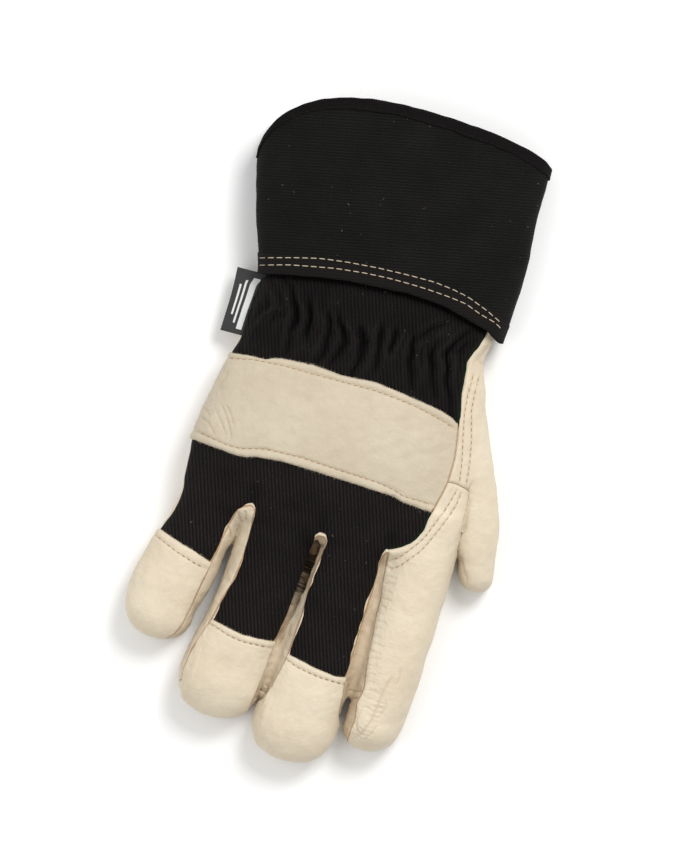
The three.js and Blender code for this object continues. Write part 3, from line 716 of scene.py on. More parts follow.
def add_node(tree, kind, inputs=None, **settings):
    made = tree.nodes.new("ShaderNode" + kind)
    for key, value in settings.items():
        setattr(made, key, value)
    for key, value in (inputs or {}).items():
        if isinstance(value, bpy.types.NodeSocket):
            tree.links.new(value, made.inputs[key])
        else:
            made.inputs[key].default_value = value
    return made


def attribute(tree, name):
    return add_node(tree, "Attribute", attribute_name=name).outputs["Fac"]


def ramp(tree, value, stops):
    """A colour ramp: stops are (position, grey) or (position, (r, g, b))."""
    made = add_node(tree, "ValToRGB", {"Fac": value})
    elements = made.color_ramp.elements
    while len(elements) < len(stops):
        elements.new(0.5)
    for element, (position, color) in zip(elements, stops):
        element.position = position
        element.color = (*color, 1) if isinstance(color, tuple) else (color, color, color, 1)
    return made.outputs["Color"]


def mixed(tree, share, a, b, blend="MIX"):
    made = add_node(tree, "Mix", data_type="RGBA", blend_type=blend)
    for socket, value in zip((made.inputs[0], made.inputs[6], made.inputs[7]), (share, a, b)):
        if isinstance(value, bpy.types.NodeSocket):
            tree.links.new(value, socket)
        else:
            socket.default_value = (*value, 1) if isinstance(value, tuple) else value
    return made.outputs[2]


def math_node(tree, operation, a, b=0.0):
    return add_node(tree, "Math", {0: a, 1: b}, operation=operation).outputs["Value"]


def bumped(tree, height, strength, distance, normal=None):
    inputs = {"Height": height, "Strength": strength, "Distance": distance}
    if normal is not None:
        inputs["Normal"] = normal
    return add_node(tree, "Bump", inputs).outputs["Normal"]


def noise(tree, place, scale, detail=3.0, roughness=0.55):
    return add_node(tree, "TexNoise", {"Vector": place, "Scale": scale, "Detail": detail,
                                       "Roughness": roughness}).outputs["Fac"]


def toned(tree, color):
    """A colour made darker or lighter by the piece's own tone."""
    tone = add_node(tree, "CombineXYZ", {i: attribute(tree, "tone") for i in range(3)}).outputs[0]
    return mixed(tree, 1.0, color, tone, "MULTIPLY")


def leather_material():
    """Cream grain leather with raw orange-brown edges, and painted tan shade in its creases that turns near
    black in the deepest.
    """
    material, tree, shader = new_material("leather")
    place = add_node(tree, "TexCoord").outputs["Object"]
    clouds = noise(tree, place, 34.0, 4.0)
    color = ramp(tree, clouds, [(0.34, (0.64, 0.545, 0.405)), (0.68, (0.70, 0.61, 0.465))])
    mottle = ramp(tree, noise(tree, place, 260.0, 5.0, 0.65), [(0.3, 0.88), (0.62, 1.0)])
    color = mixed(tree, 0.45, color, mottle, "MULTIPLY")
    pores = add_node(tree, "TexVoronoi", {"Vector": place, "Scale": 700.0}).outputs["Distance"]
    color = mixed(tree, ramp(tree, pores, [(0.05, 0.14), (0.16, 0.0)]), color, (0.50, 0.38, 0.25))
    color = toned(tree, color)
    # Painted shade: tan in creases, stitch furrows and the strips between fingers, and near black in the
    # deepest clefts.
    folds = ramp(tree, attribute(tree, "crease_shading"), [(0.05, 0.0), (0.6, 0.62)])
    color = mixed(tree, folds, color, (0.43, 0.31, 0.19))
    halved = math_node(tree, "MULTIPLY", attribute(tree, "crease_shading"), 0.5)
    deep_shade = ramp(tree, halved, [(0.45, 0.0), (0.9, 0.85)])
    color = mixed(tree, deep_shade, color, (0.07, 0.045, 0.025))
    fray = math_node(tree, "ADD", 0.65, math_node(tree, "MULTIPLY", noise(tree, place, 900.0), 0.7))
    raw = ramp(tree, math_node(tree, "MULTIPLY", attribute(tree, "raw"), fray), [(0.5, 0.0), (0.85, 0.85)])
    color = mixed(tree, raw, color, (0.36, 0.19, 0.08))
    tree.links.new(color, shader.inputs["Base Color"])
    rough = ramp(tree, noise(tree, place, 120.0), [(0.3, 0.5), (0.7, 0.66)])
    tree.links.new(rough, shader.inputs["Roughness"])
    shader.inputs["Specular IOR Level"].default_value = 0.32
    grain = add_node(tree, "TexVoronoi", {"Vector": place, "Scale": 1150.0}, feature="SMOOTH_F1")
    normal = bumped(tree, noise(tree, place, 330.0, 4.0, 0.6), 0.55, 0.0007)
    normal = bumped(tree, grain.outputs["Distance"], 0.4, 0.00022, normal)
    drawn = add_node(tree, "Mapping", {"Vector": place, "Scale": (0.35, 1, 0.6)}).outputs["Vector"]
    lines = add_node(tree, "TexNoise", {"Vector": drawn, "Scale": 620.0, "Detail": 3.0, "Roughness": 0.5,
                                        "Distortion": 0.4}, noise_type="RIDGED_MULTIFRACTAL")
    height = math_node(tree, "MULTIPLY", lines.outputs["Fac"], attribute(tree, "wrinkle"))
    normal = bumped(tree, height, 0.6, 0.0006, normal)
    tree.links.new(normal, shader.inputs["Normal"])
    return material


def ribs(tree, place, angle, pitch, distortion=1.1):
    """Twill lines that run at an angle in plan, one pitch apart in millimetres."""
    turned = add_node(tree, "Mapping", {"Vector": place, "Rotation": (0, 0, -math.radians(angle))})
    return add_node(tree, "TexWave", {"Vector": turned.outputs["Vector"], "Scale": WAVE_PERIOD / (pitch * MM),
                                      "Distortion": distortion, "Detail": 2.0, "Detail Scale": 2.5},
                    bands_direction="Y").outputs["Fac"]


def cloth_material(name, angle, pitch, color, depth=0.00028, lint=0.5, contrast=0.43):
    """Black twill: ribs, a fine cross thread, fuzz and specks of lint, with painted shade in the valleys of
    folds and a painted highlight on their ridges.
    """
    material, tree, shader = new_material(name)
    place = add_node(tree, "TexCoord").outputs["Object"]
    rib = ribs(tree, place, angle, pitch)
    cross = ribs(tree, place, angle + 76, pitch * 0.42, 1.2)
    dark = tuple((1 - contrast) * c for c in color)
    light = tuple((1 + contrast) * c for c in color)
    tone = ramp(tree, rib, [(0.15, dark), (0.8, light)])
    # Painted shade, near black, in the valleys of folds, and a painted highlight on their ridges.
    valley = attribute(tree, "crease_shading")
    tone = mixed(tree, ramp(tree, valley, [(0.15, 0.0), (1.0, 0.72)]), tone, (0.0008, 0.0008, 0.0008))
    crest_highlight = ramp(tree, math_node(tree, "MULTIPLY", valley, -1.0), [(0.02, 0.0), (0.5, 0.5)])
    tone = mixed(tree, crest_highlight, tone, tuple(2.0 * c for c in color))
    fuzz = ramp(tree, noise(tree, place, 1900.0, 3.0, 0.7), [(0.3, 0.3), (0.7, 1.0)])
    tone = mixed(tree, 0.75, tone, fuzz, "MULTIPLY")
    clouds = ramp(tree, noise(tree, place, 60.0), [(0.3, 0.45), (0.7, 1.0)])
    tone = mixed(tree, 0.5, tone, clouds, "MULTIPLY")
    curl = add_node(tree, "TexNoise", {"Vector": place, "Scale": 800.0}).outputs["Color"]
    parts = {0: curl, 1: (0.0022, 0.0022, 0), 2: place}
    curled = add_node(tree, "VectorMath", parts, operation="MULTIPLY_ADD").outputs[0]
    speck = add_node(tree, "TexVoronoi", {"Vector": curled, "Scale": 135.0}, voronoi_dimensions="2D")
    small = math_node(tree, "LESS_THAN", speck.outputs["Distance"], 0.03)
    draw = add_node(tree, "SeparateColor", {"Color": speck.outputs["Color"]}).outputs[0]
    chosen = math_node(tree, "GREATER_THAN", draw, 1 - lint)
    cluster = ramp(tree, noise(tree, place, 28.0), [(0.5, 0.0), (0.6, 1.0)])
    shown = math_node(tree, "MULTIPLY", math_node(tree, "MULTIPLY", small, chosen), cluster)
    tone = mixed(tree, math_node(tree, "MULTIPLY", shown, 0.3), tone, (0.30, 0.29, 0.27))
    tree.links.new(tone, shader.inputs["Base Color"])
    shader.inputs["Roughness"].default_value = 0.88
    shader.inputs["Specular IOR Level"].default_value = 0.07
    shader.inputs["Sheen Weight"].default_value = 0.015
    shader.inputs["Sheen Roughness"].default_value = 0.5
    normal = bumped(tree, rib, 0.9, depth)
    normal = bumped(tree, cross, 0.5, depth * 0.45, normal)
    normal = bumped(tree, noise(tree, place, 2600.0), 0.5, 0.00016, normal)
    tree.links.new(normal, shader.inputs["Normal"])
    return material, tree, shader


def recolored(tree, shader, change):
    """Puts a change of colour before the shader."""
    color = change(shader.inputs["Base Color"].links[0].from_socket)
    tree.links.new(color, shader.inputs["Base Color"])


def thread_material(name, color):
    """Twisted sewing thread."""
    material, tree, shader = new_material(name)
    place = add_node(tree, "TexCoord").outputs["Object"]
    twist = ribs(tree, place, 40, 0.42, 0.4)
    dark = tuple(0.62 * c for c in color)
    tree.links.new(ramp(tree, twist, [(0.2, dark), (0.8, color)]), shader.inputs["Base Color"])
    shader.inputs["Roughness"].default_value = 0.75
    shader.inputs["Specular IOR Level"].default_value = 0.12
    tree.links.new(bumped(tree, twist, 0.6, 0.00012), shader.inputs["Normal"])
    return material


leather = leather_material()
drill, drill_tree, drill_shader = cloth_material("drill", -72, 1.45, (0.0160, 0.0132, 0.0125))
recolored(drill_tree, drill_shader, lambda color: toned(drill_tree, color))
green = ramp(drill_tree, attribute(drill_tree, "selvedge"), [(0.35, 0.0), (0.75, 0.85)])
recolored(drill_tree, drill_shader, lambda color: mixed(drill_tree, green, color, (0.006, 0.016, 0.007)))
twill, twill_tree, twill_shader = cloth_material("cuff_twill", 11, 1.25, (0.0108, 0.0105, 0.0097),
                                                 depth=0.0002, lint=0.6, contrast=0.25)
scaled_hem = math_node(twill_tree, "MULTIPLY", attribute(twill_tree, "hem"), 0.1)
hem_side = ramp(twill_tree, scaled_hem, [(0.76, 1.0), (0.8, 0.0)])
brown_black = (0.0095, 0.0078, 0.0076)
recolored(twill_tree, twill_shader, lambda color: mixed(twill_tree, hem_side, color, brown_black))
tape, _, _ = cloth_material("binding_tape", 52, 0.8, (0.0085, 0.0070, 0.0068), depth=0.00012, lint=0.35)
cuff_thread = thread_material("cuff_thread", (0.62, 0.52, 0.38))
tan_thread = thread_material("tan_thread", (0.40, 0.27, 0.15))
black_thread = thread_material("black_thread", (0.013, 0.012, 0.012))


def label_material():
    """Black damask label with plain white woven bars."""
    material, tree, shader = new_material("label_weave")
    across, down = attribute(tree, "across"), attribute(tree, "down")
    place = add_node(tree, "TexCoord").outputs["Object"]

    def band(value, low, high):
        above = math_node(tree, "GREATER_THAN", value, low)
        return math_node(tree, "MULTIPLY", above, math_node(tree, "LESS_THAN", value, high))

    bars = None
    spans = ((0.16, 0.40, 0.10, 0.92), (0.52, 0.60, 0.16, 0.84), (0.70, 0.78, 0.24, 0.72))
    for low, high, start, end in spans:
        bar = math_node(tree, "MULTIPLY", band(across, low, high), band(down, start, end))
        bars = bar if bars is None else math_node(tree, "MAXIMUM", bars, bar)
    weft = ribs(tree, place, 90, 0.35, 0.2)
    warp = ribs(tree, place, 0, 0.35, 0.2)
    black = ramp(tree, weft, [(0.2, (0.009, 0.009, 0.01)), (0.8, (0.022, 0.022, 0.024))])
    white = ramp(tree, warp, [(0.1, (0.5, 0.5, 0.49)), (0.7, (0.82, 0.82, 0.8))])
    tree.links.new(mixed(tree, bars, black, white), shader.inputs["Base Color"])
    shader.inputs["Roughness"].default_value = 0.55
    tree.links.new(bumped(tree, weft, 0.6, 0.0001), shader.inputs["Normal"])
    return material


weave = label_material()


# The relief of each panel, as heights over the plain skin
def flap(distance, width=3.1, height=0.28):
    """The puff of a turned edge between its fold and its stitches."""
    return height * np.sin(np.pi * np.clip(distance / width, 0, 1))


def gathers(points):
    """The folds at the elastic, each a valley that is deepest along its middle."""
    shifted = points.copy()
    shifted[:, 0] += 0.45 * waves(points, 9.0, 16, (1, 1.5, 1))
    made = np.zeros(len(points))
    for depth, line in GATHERS:
        away, along = line_distance(shifted, line)
        share = along / along.max()
        size = depth * smoothstep(share, -0.12, 0.35) * smoothstep(1 - share, -0.45, 0.45)
        size = size * (0.7 + 0.6 * np.exp(-((points[:, 1] - 40) / 5) ** 2))
        width = 0.62 + 0.3 * waves(points, 7.0, 18)
        made -= size * (0.6 * np.exp(-(away / width) ** 2) + 0.4 * np.exp(-(away / 1.9) ** 2))
        made += 0.36 * size * np.exp(-((away - 2.7) / 1.0) ** 2)
    return made


def wrist_relief(points, edge, data):
    x, y = points[:, 0], points[:, 1]
    wander = 1.6 * waves(points, 12.0, 12, (1, 2.2, 1))
    pull = np.exp(-((y - ELASTIC_Y - 0.5 * waves(points, 18.0, 14)) / 4.2) ** 2)
    uneven = 0.7 + 0.5 * waves(points, 10.0, 19)
    pleats = 0.42 * pull * np.sin(2 * np.pi * (x + wander) / PLEAT_PITCH) * uneven
    under_hem = -1.1 * smoothstep(y - hem_at(x), -3.0, 0.0)
    small = 0.34 * waves(points, 5.5, 17, (1, 3.2, 1)) * (0.35 + 0.65 * np.exp(-((y - 39) / 9) ** 2))
    soft = 0.3 * waves(points, 16.0, 15) - 0.15 * pull + under_hem
    # The sharp relief paints shade in the valleys of the gathers and a highlight on their ridges, and its
    # share of under_hem paints a shadow beneath the cuff's hem.
    return soft, gathers(points) + pleats + small + 0.8 * under_hem, 0


def strap_relief(points, edge, data):
    inside = data[:, column["strap"]]
    crumple = np.exp(-(((points[:, 0] + 50) / 9) ** 2 + ((points[:, 1] + 8) / 12) ** 2))
    ragged = -0.35 * smoothstep(inside, 1.2, 0) * (0.5 + 0.5 * waves(points, 3.2, 25))
    crumpled = 0.1 * crumple * waves(points, 2.6, 24, (1, 2.2, 1))
    sharp = sewn(points, STRAP_STITCHES) + groove(points, STRAP_WRINKLES, 0.32, 0.42)
    return flap(inside) + leather_feel(points, 21) + ragged + crumpled, sharp, 0.12 + 0.6 * crumple


def knuckle_relief(points, edge, data):
    x, y = points[:, 0], points[:, 1]
    made = 0.3 * waves(points, 19.0, 31) + 0.14 * waves(points, 8.0, 32)
    dip = np.zeros(len(points))
    for fork_x, fork_y, lean in ((-26.5, -39.0, -0.05), (4.4, -43.4, -0.2), (32.4, -42.0, 0.1)):
        rise = y - fork_y
        valley = np.exp(-((x - fork_x - lean * rise) / (2.6 + 0.16 * np.maximum(rise, 0))) ** 2)
        dip = dip - valley * smoothstep(rise, -3, 2) * smoothstep(-rise, -19, -4)
    for line in FORKS.values():
        made = made + puckers(points, line, 4.6, 0.12, 2.4, 33)
    # The dip also goes to the sharp relief, which paints shade into the soft valleys above the forks.
    return made + 1.2 * dip - 0.2 * smoothstep(edge, 1.5, 0), 0.45 * dip, 0


def cap_relief(digit, seed):
    def relief(points, edge, data):
        inside = data[:, column[f"{digit}_cap"]]
        soft = flap(inside, 2.9, 0.22) + leather_feel(points, seed)
        soft = soft - 0.3 * smoothstep(inside, 1.0, 0) * (0.5 + 0.5 * waves(points, 3.0, seed + 4))
        for line in FORKS.values():
            soft = soft + puckers(points, line, 3.1, 0.1, 1.8, seed + 5)
        return soft, sewn(points, [CAP_STITCHES[digit]], depth=0.36), 0.12
    return relief


def fork_relief(fork, seed, sink, painted_shade, root_shade):
    def relief(points, edge, data):
        folds = puckers(points, FORKS[fork], 5.2, 0.22, 3.5, seed + 3)
        soft = leather_feel(points, seed) + folds - sink * smoothstep(edge, 0.5, 2.0)
        # Painted tan shade on the inner part of the strip, darker towards its root: added to the soft height
        # and taken from the sharp one, it leaves the shape as it is and only colours the leather.
        tan = painted_shade * smoothstep(edge, 1.0, 2.2) * (1 + 0.35 * waves(points, 9.0, seed + 6, (0.4, 1.5, 1)))
        tan = tan * (1 + root_shade * smoothstep(points[:, 1], -78, -54))
        split = np.zeros(len(points))
        for depth, width, line in FORK_SPLITS.get(fork, []):
            split = np.minimum(split, groove(points, [line], depth, width))
        return soft + tan, groove(points, FORK_CREASES[fork], 0.5, 0.4) + split - tan, 0.3
    return relief


def index_relief(points, edge, data):
    x, y = points[:, 0], points[:, 1]
    seam = FORKS["middle_index"][13:26]
    from_seam, _ = line_distance(points, seam)
    fine = np.cos(2 * np.pi * (y + 0.9 * waves(points, 8.0, 44) + 0.12 * x) / 2.3)
    fine = 0.09 * fine * np.exp(-from_seam / 4.5) * (0.6 + 0.5 * waves(points, 12.0, 45, (1, 2, 1)))
    nail = 0.9 * np.exp(-(((x - 40.7 + 0.2 * (y + 112)) / 2.4) ** 2 + ((y + 112.3) / 4.8) ** 2) ** 1.6)
    ridge = 0.35 * np.exp(-((from_seam - 1.4) / 1.2) ** 2)
    drawn = puckers(points, INDEX_FOLD, 1.8, 0.3, 1.7, 46)
    soft = fine + nail + ridge + drawn + leather_feel(points, 41) + flap(-data[:, column["back"]], 2.8, 0.2)
    creases = INDEX_CREASES + seam_wrinkles(seam[:11], -49.5, -98, 3.1, 4.6, 47)
    sharp = sewn(points, INDEX_STITCHES, depth=0.34) + groove(points, creases, 0.28, 0.38)
    return soft, sharp + groove(points, [INDEX_FOLD], 0.34, 0.6), 0.15 + 0.85 * np.exp(-from_seam / 7.0)


def thumb_relief(points, edge, data):
    strip = smoothstep(points[:, 1], -11, -7)
    near_cuff = smoothstep(points[:, 1], 14, 44)
    soft = leather_feel(points, 51) + 0.14 * near_cuff * waves(points, 4.2, 54, (1, 1.8, 1))
    soft = soft + 0.25 * np.exp(-((edge - 1.2) / 1.0) ** 2) * strip
    sharp = sewn(points, STRIP_STITCHES, depth=0.34) + groove(points, THUMB_CREASES, 0.36, 0.6)
    return soft, sharp, 0.15 + 0.5 * near_cuff


def front_relief(points, edge, data):
    under_hem = -2.0 * smoothstep(points[:, 1] - hem_at(points[:, 0]), -3.0, 0.0)
    return 1.3 * leather_feel(points, 61) + under_hem, 0, 0.15


# Panels of the hand
LEATHER_WALL, STRAP_WALL, CLOTH_WALL = 1.5, 1.6, 1.2
cloth = (drill, "drill")
hide = (leather, "leather")
panel("wrist_panel", [("strap", -1, 2.0), ("knuckles", -1, 0), ("side", 1, 0), ("back", 1, 1.0)],
      *cloth, wrist_relief, CLOTH_WALL, drop=0.4, tone=0.64, fine=True)
panel("knuckle_strap", [("strap", 1, 0), ("side", 1, 0), ("back", 1, 0)],
      *hide, strap_relief, STRAP_WALL, lift=0.9, radius=0.9, drop=0.9, raw=["back"], frayed=1.9, tone=0.79,
      fine=True)
panel("knuckle_panel", [("strap", -1, 2.0), ("knuckles", 1, 0), ("side", 1, 0), ("back", 1, 1.0),
                        ("little_ring", -1, 0), ("ring_middle", -1, 0), ("middle_index", -1, 0),
                        ("little_cap", -1, 2.0), ("ring_cap", -1, 2.0), ("middle_cap", -1, 2.0)],
      *cloth, knuckle_relief, CLOTH_WALL, drop=0.4)
CAP_SIDES = {"little": [("little_ring", -1, 0)], "ring": [("little_ring", -1, 0), ("ring_middle", -1, 0)],
             "middle": [("ring_middle", -1, 0), ("middle_index", -1, 0)]}
for digit, others in CAP_SIDES.items():
    panel(f"{digit}_tip", [(f"{digit}_cap", 1, 0), ("side", 1, 0), ("back", 1, 0), *others],
          *hide, cap_relief(digit, len(digit) * 10), LEATHER_WALL, lift=0.6, radius=0.9, drop=0.9,
          raw=list(FORKS), fine=True)
# How far each strip between fingers sinks, how much painted tan shade it carries and how much more of that
# shade it gets at its root
FORK_LOOKS = {"little_ring": (-0.1, 0.1, 0.9), "ring_middle": (0.8, 0.22, 2.4), "middle_index": (0.4, 0.7, 0)}
for fork, looks in FORK_LOOKS.items():
    panel(f"fourchette_{fork}", [(fork, 1, 0.8)], *hide, fork_relief(fork, len(fork) * 7, *looks),
          LEATHER_WALL, lift=-0.2, drop=0.6, raw=[fork], tone=0.97, fine=True)
panel("index_back", [("back", -1, 0), ("thumb", -1, 0), ("side", 1, 0), ("middle_index", -1, 0)],
      *hide, index_relief, LEATHER_WALL, lift=0.3, raw=["middle_index"], fine=True)
FRONT_SIDES = {"ring_front": [("ring_room", 1, 0)], "middle_front": [("middle_room", 1, 0)],
               "palm": [("ring_room", -1, 0), ("middle_room", -1, 0)]}
for name, sides in FRONT_SIDES.items():
    others = [(other, -1, 0) for other in ("side", "thumb", *FORKS)]
    panel(name, sides + others, *hide, front_relief, LEATHER_WALL, drop=0.5)
panel("thumb", [("thumb", 1, 0)], *hide, thumb_relief, LEATHER_WALL, lift=0.3, tone=0.95)

# Cuff and binding
HEM_Y, MOUTH_REACH, MOUTH_CENTRE, MOUTH_HALF = 61.0, 135.2, -2.0, 59.3
BINDING_DEPTH, BINDING_CLOTH, SEAM_GAP, CUFF_WALL = 4.3, 0.45, 0.12, 1.5
FOLD_OVER = BINDING_CLOTH + SEAM_GAP
HEM_BAND = (7.4, 8.1)
cuff_rows = smooth_rows(CUFF_ROWS, 1.0)


def mouth_at(x):
    """The y of the cuff's slanted, rounded mouth."""
    across = np.clip((x - MOUTH_CENTRE) / MOUTH_HALF, -1, 1)
    drop, power = np.where(across < 0, 36.0, 10.6), np.where(across < 0, 2.4, 2.0)
    return MOUTH_REACH - drop * (1 - (1 - np.abs(across) ** power) ** (1 / power))


def cuff_points(angles, share, beyond, depth):
    """Points of the cuff's wall, by the angle round it and the share of the way from hem to mouth."""
    angles, share, beyond, depth = (np.ravel(v) for v in np.broadcast_arrays(angles, share, beyond, depth))

    def at(y, grow):
        rows = np.column_stack([y] + [np.interp(y, cuff_rows[:, 0], cuff_rows[:, i]) for i in (1, 2, 3, 4)])
        return section_points(grown(rows, grow), angles[:, None])[:, 0]

    y = HEM_Y + share * (MOUTH_REACH - HEM_Y)
    for _ in range(16):
        x = at(y, np.zeros((len(y), 1)))[:, 0]
        y = (y + (1 - share) * hem_at(x) + share * (mouth_at(x) - FOLD_OVER)) / 2
    return at(y + beyond, -depth[:, None])


def ring_mesh(rings):
    """A closed mesh through profiles set round a ring, as (points, quads)."""
    count, size = rings.shape[:2]
    return rings.reshape(-1, 3), grid_faces(np.arange(count * size).reshape(count, size), 1, 1)


def ring_normals(rings):
    """The outward directions of such a mesh."""
    along = np.roll(rings, -1, axis=0) - np.roll(rings, 1, axis=0)
    across = np.roll(rings, -1, axis=1) - np.roll(rings, 1, axis=1)
    normal = np.cross(across, along)
    return normal / np.maximum(np.linalg.norm(normal, axis=2), 1e-9)[:, :, None]


ROUND_CUFF = 420
cuff_angles = np.linspace(0, 2 * np.pi, ROUND_CUFF, endpoint=False)
outer_share = np.linspace(0, 1, 120)
profile = [(0.0, 0.0, CUFF_WALL * d) for d in (0.85, 0.5, 0.15)]
profile += [(s, 0.0, 0.0) for s in outer_share]
profile += [(1.0, 0.0, CUFF_WALL)]
profile += [(s, 0.0, CUFF_WALL) for s in outer_share[::-4]]
share, beyond, depth = np.array(profile).T
rings = cuff_points(cuff_angles[:, None], share[None, :], beyond[None, :], depth[None, :])
rings = rings.reshape(ROUND_CUFF, len(profile), 3)
cuff_normals = ring_normals(rings)
from_hem = rings[:, :, 1] - hem_at(rings[:, :, 0])
outside = (depth < CUFF_WALL * 0.6)[None, :]
band = 0.4 * (1 - smoothstep(from_hem, *HEM_BAND))
flat_rings = rings.reshape(-1, 3)
stiff = (0.3 * waves(flat_rings, 34.0, 71) + 0.08 * waves(flat_rings, 9.0, 72)).reshape(from_hem.shape)
under_tape = smoothstep(share, 0.84, 0.935)[None, :]
rings = rings + cuff_normals * ((band + stiff * (1 - under_tape)) * outside)[:, :, None]
rings[:, :, 2] = np.maximum(rings[:, :, 2], FLOOR_CLEAR)
cuff_xyz, cuff_faces = ring_mesh(rings)
piece("cuff_twill", cuff_xyz, cuff_faces, twill, ["cuff"], {"hem": from_hem.ravel()})
index = np.arange(ROUND_CUFF * len(profile)).reshape(ROUND_CUFF, -1)
surfaces["cuff"] = (cuff_xyz, grid_faces(index[:, 3:3 + len(outer_share)], 1, 0))

# The tape's section: up the outside, round the edge, down the inside and back between the two
fold = [(-BINDING_DEPTH, -SEAM_GAP), (-BINDING_DEPTH, -0.7), (-BINDING_DEPTH + 0.3, -FOLD_OVER)]
fold += [(b, -FOLD_OVER) for b in np.linspace(-BINDING_DEPTH + 0.8, -0.4, 8)]
centre, half = CUFF_WALL / 2, CUFF_WALL / 2 + FOLD_OVER
fold += [(-0.4 + (FOLD_OVER + 0.4) * math.sin(angle), centre - half * math.cos(angle))
         for angle in np.linspace(0.25, math.pi - 0.25, 9)]
fold += [(b, CUFF_WALL + FOLD_OVER) for b in np.linspace(-0.4, -BINDING_DEPTH + 0.3, 5)]
fold += [(-BINDING_DEPTH, CUFF_WALL + 0.7), (-BINDING_DEPTH, CUFF_WALL + SEAM_GAP),
         (SEAM_GAP, CUFF_WALL + SEAM_GAP), (SEAM_GAP, -SEAM_GAP)]
beyond, depth = np.array(fold).T
WAVY = ((0.22, 9, 0), (0.16, 23, 1), (0.1, 41, 2))
wavy = sum(height * np.sin(count * cuff_angles + phase) for height, count, phase in WAVY)
at_edge = smoothstep(-beyond, BINDING_DEPTH - 2, BINDING_DEPTH - 0.6)
beyond = beyond[None, :] + wavy[:, None] * at_edge[None, :]
tape_xyz = cuff_points(cuff_angles[:, None], 1.0, beyond, depth[None, :])
tape_rings = tape_xyz.reshape(ROUND_CUFF, len(fold), 3)
puff = (0.1 * waves(tape_xyz, 7.0, 73)).reshape(ROUND_CUFF, -1, 1)
tape_rings = tape_rings + ring_normals(tape_rings) * puff
tape_rings[:, :, 2] = np.maximum(tape_rings[:, :, 2], FLOOR_CLEAR)
tape_xyz, tape_faces = ring_mesh(tape_rings)
surfaces["cuff_binding"] = (tape_xyz, tape_faces)
piece("cuff_binding_tape", tape_xyz, tape_faces, tape, ["cuff_binding"])

# Side label: a woven tab that leaves the side seam and droops a little
LABEL = {"front": -57.0, "root_y": 54.0, "end_y": 27.2, "thick": 0.5, "droop": 2.6}
label_y = np.linspace(LABEL["root_y"], LABEL["end_y"], 70)
label_t = np.linspace(0, 1, 30)
LABEL_ROOT = [(22, -48.6), (29, -47.4), (38, -46.9), (44, -46.3), (50, -45.8), (54, -45.5)]
root = np.interp(label_y, *np.array(LABEL_ROOT).T)
root = root + 1.6 * smoothstep(label_y, 48, 52)
lx = root[:, None] + (LABEL["front"] - root[:, None]) * label_t[None, :]
lx = lx + 0.25 * np.sin(label_y / 5.5)[:, None] * label_t[None, :]
lz = SIDE_SEAM + 0.6 - LABEL["droop"] * label_t[None, :] ** 1.5
lz = lz + 0.5 * np.sin(label_y / 6.0 + 0.8)[:, None] * label_t
ly = np.broadcast_to(label_y[:, None], lx.shape)
sheet = np.stack([lx, ly, lz], 2)
quads = grid_faces(np.arange(lx.size).reshape(lx.shape))
triangles = np.vstack([quads[:, [0, 2, 1]], quads[:, [0, 3, 2]]])
up = np.tile([0.0, 0.0, 1.0], (lx.size, 1))
label_xyz, label_faces = thickened(sheet.reshape(-1, 3), up, triangles, LABEL["thick"])
values = {"across": np.tile(np.broadcast_to(label_t, lx.shape).ravel(), 2),
          "down": np.tile(((label_y[0] - ly) / (label_y[0] - label_y[-1])).ravel(), 2)}
piece("side_label_weave", label_xyz, label_faces, weave, ["side_label"], values)


# Stitches
def tree_of(target):
    """The outer surface of a piece, for rays."""
    points, faces = surfaces[target]
    return BVHTree.FromPolygons([tuple(p) for p in points], [tuple(int(i) for i in f) for f in faces])


def measured(line):
    """A line's corners and how far along it each of them lies."""
    corners = np.array(line, float)
    return corners, np.concatenate([[0], np.cumsum(np.hypot(*np.diff(corners, axis=0).T))])


def stitch_row(name, lines, target, material, pitch, length, radius, below=False):
    """One row or more of stitches that lie in a piece's surface, as one piece."""
    tree = tree_of(target)
    start_z, sides, rings = (-100 if below else 100), 6, 9
    inward = Vector((0, 0, 1 if below else -1))
    turn = np.linspace(0, 2 * np.pi, sides, endpoint=False)
    t = np.linspace(-1, 1, rings)
    thick = np.maximum(radius * (1 - t ** 6) ** 0.5, 0.02)
    arch = radius * (0.75 - 1.35 * t ** 2)
    made, faces = [], []
    stitch_faces = grid_faces(np.arange(rings * sides).reshape(rings, sides), 0, 1)
    for line in lines:
        corners, start = measured(line)
        for middle in np.arange(pitch / 2, start[-1] - length / 2, pitch):
            ends = []
            for place in (middle - length / 2, middle + length / 2):
                x, y = (np.interp(place, start, corners[:, i]) for i in (0, 1))
                hit, normal, _, _ = tree.ray_cast(Vector((x, y, start_z)), inward)
                if hit is not None and normal.dot(inward) > 0:
                    normal = -normal
                ends.append((hit, normal))
            (a, na), (b, nb) = ends
            if a is None or b is None or (b - a).length > 2.2 * length:
                continue
            up = (na + nb).normalized()
            along = (b - a).normalized()
            side = along.cross(up).normalized()
            centre = np.array(a)[None] + (np.array(b) - np.array(a))[None] * ((t + 1) / 2)[:, None]
            centre = centre + np.array(up) * arch[:, None]
            around = np.cos(turn)[:, None] * np.array(side) + np.sin(turn)[:, None] * np.array(up)
            faces.append(stitch_faces + len(made) * rings * sides)
            made.append((centre[:, None] + around[None] * thick[:, None, None]).reshape(-1, 3))
    made = np.vstack(made)
    made[:, 2] = np.maximum(made[:, 2], FLOOR_CLEAR / 2)
    piece(name, made, np.vstack(faces), material)


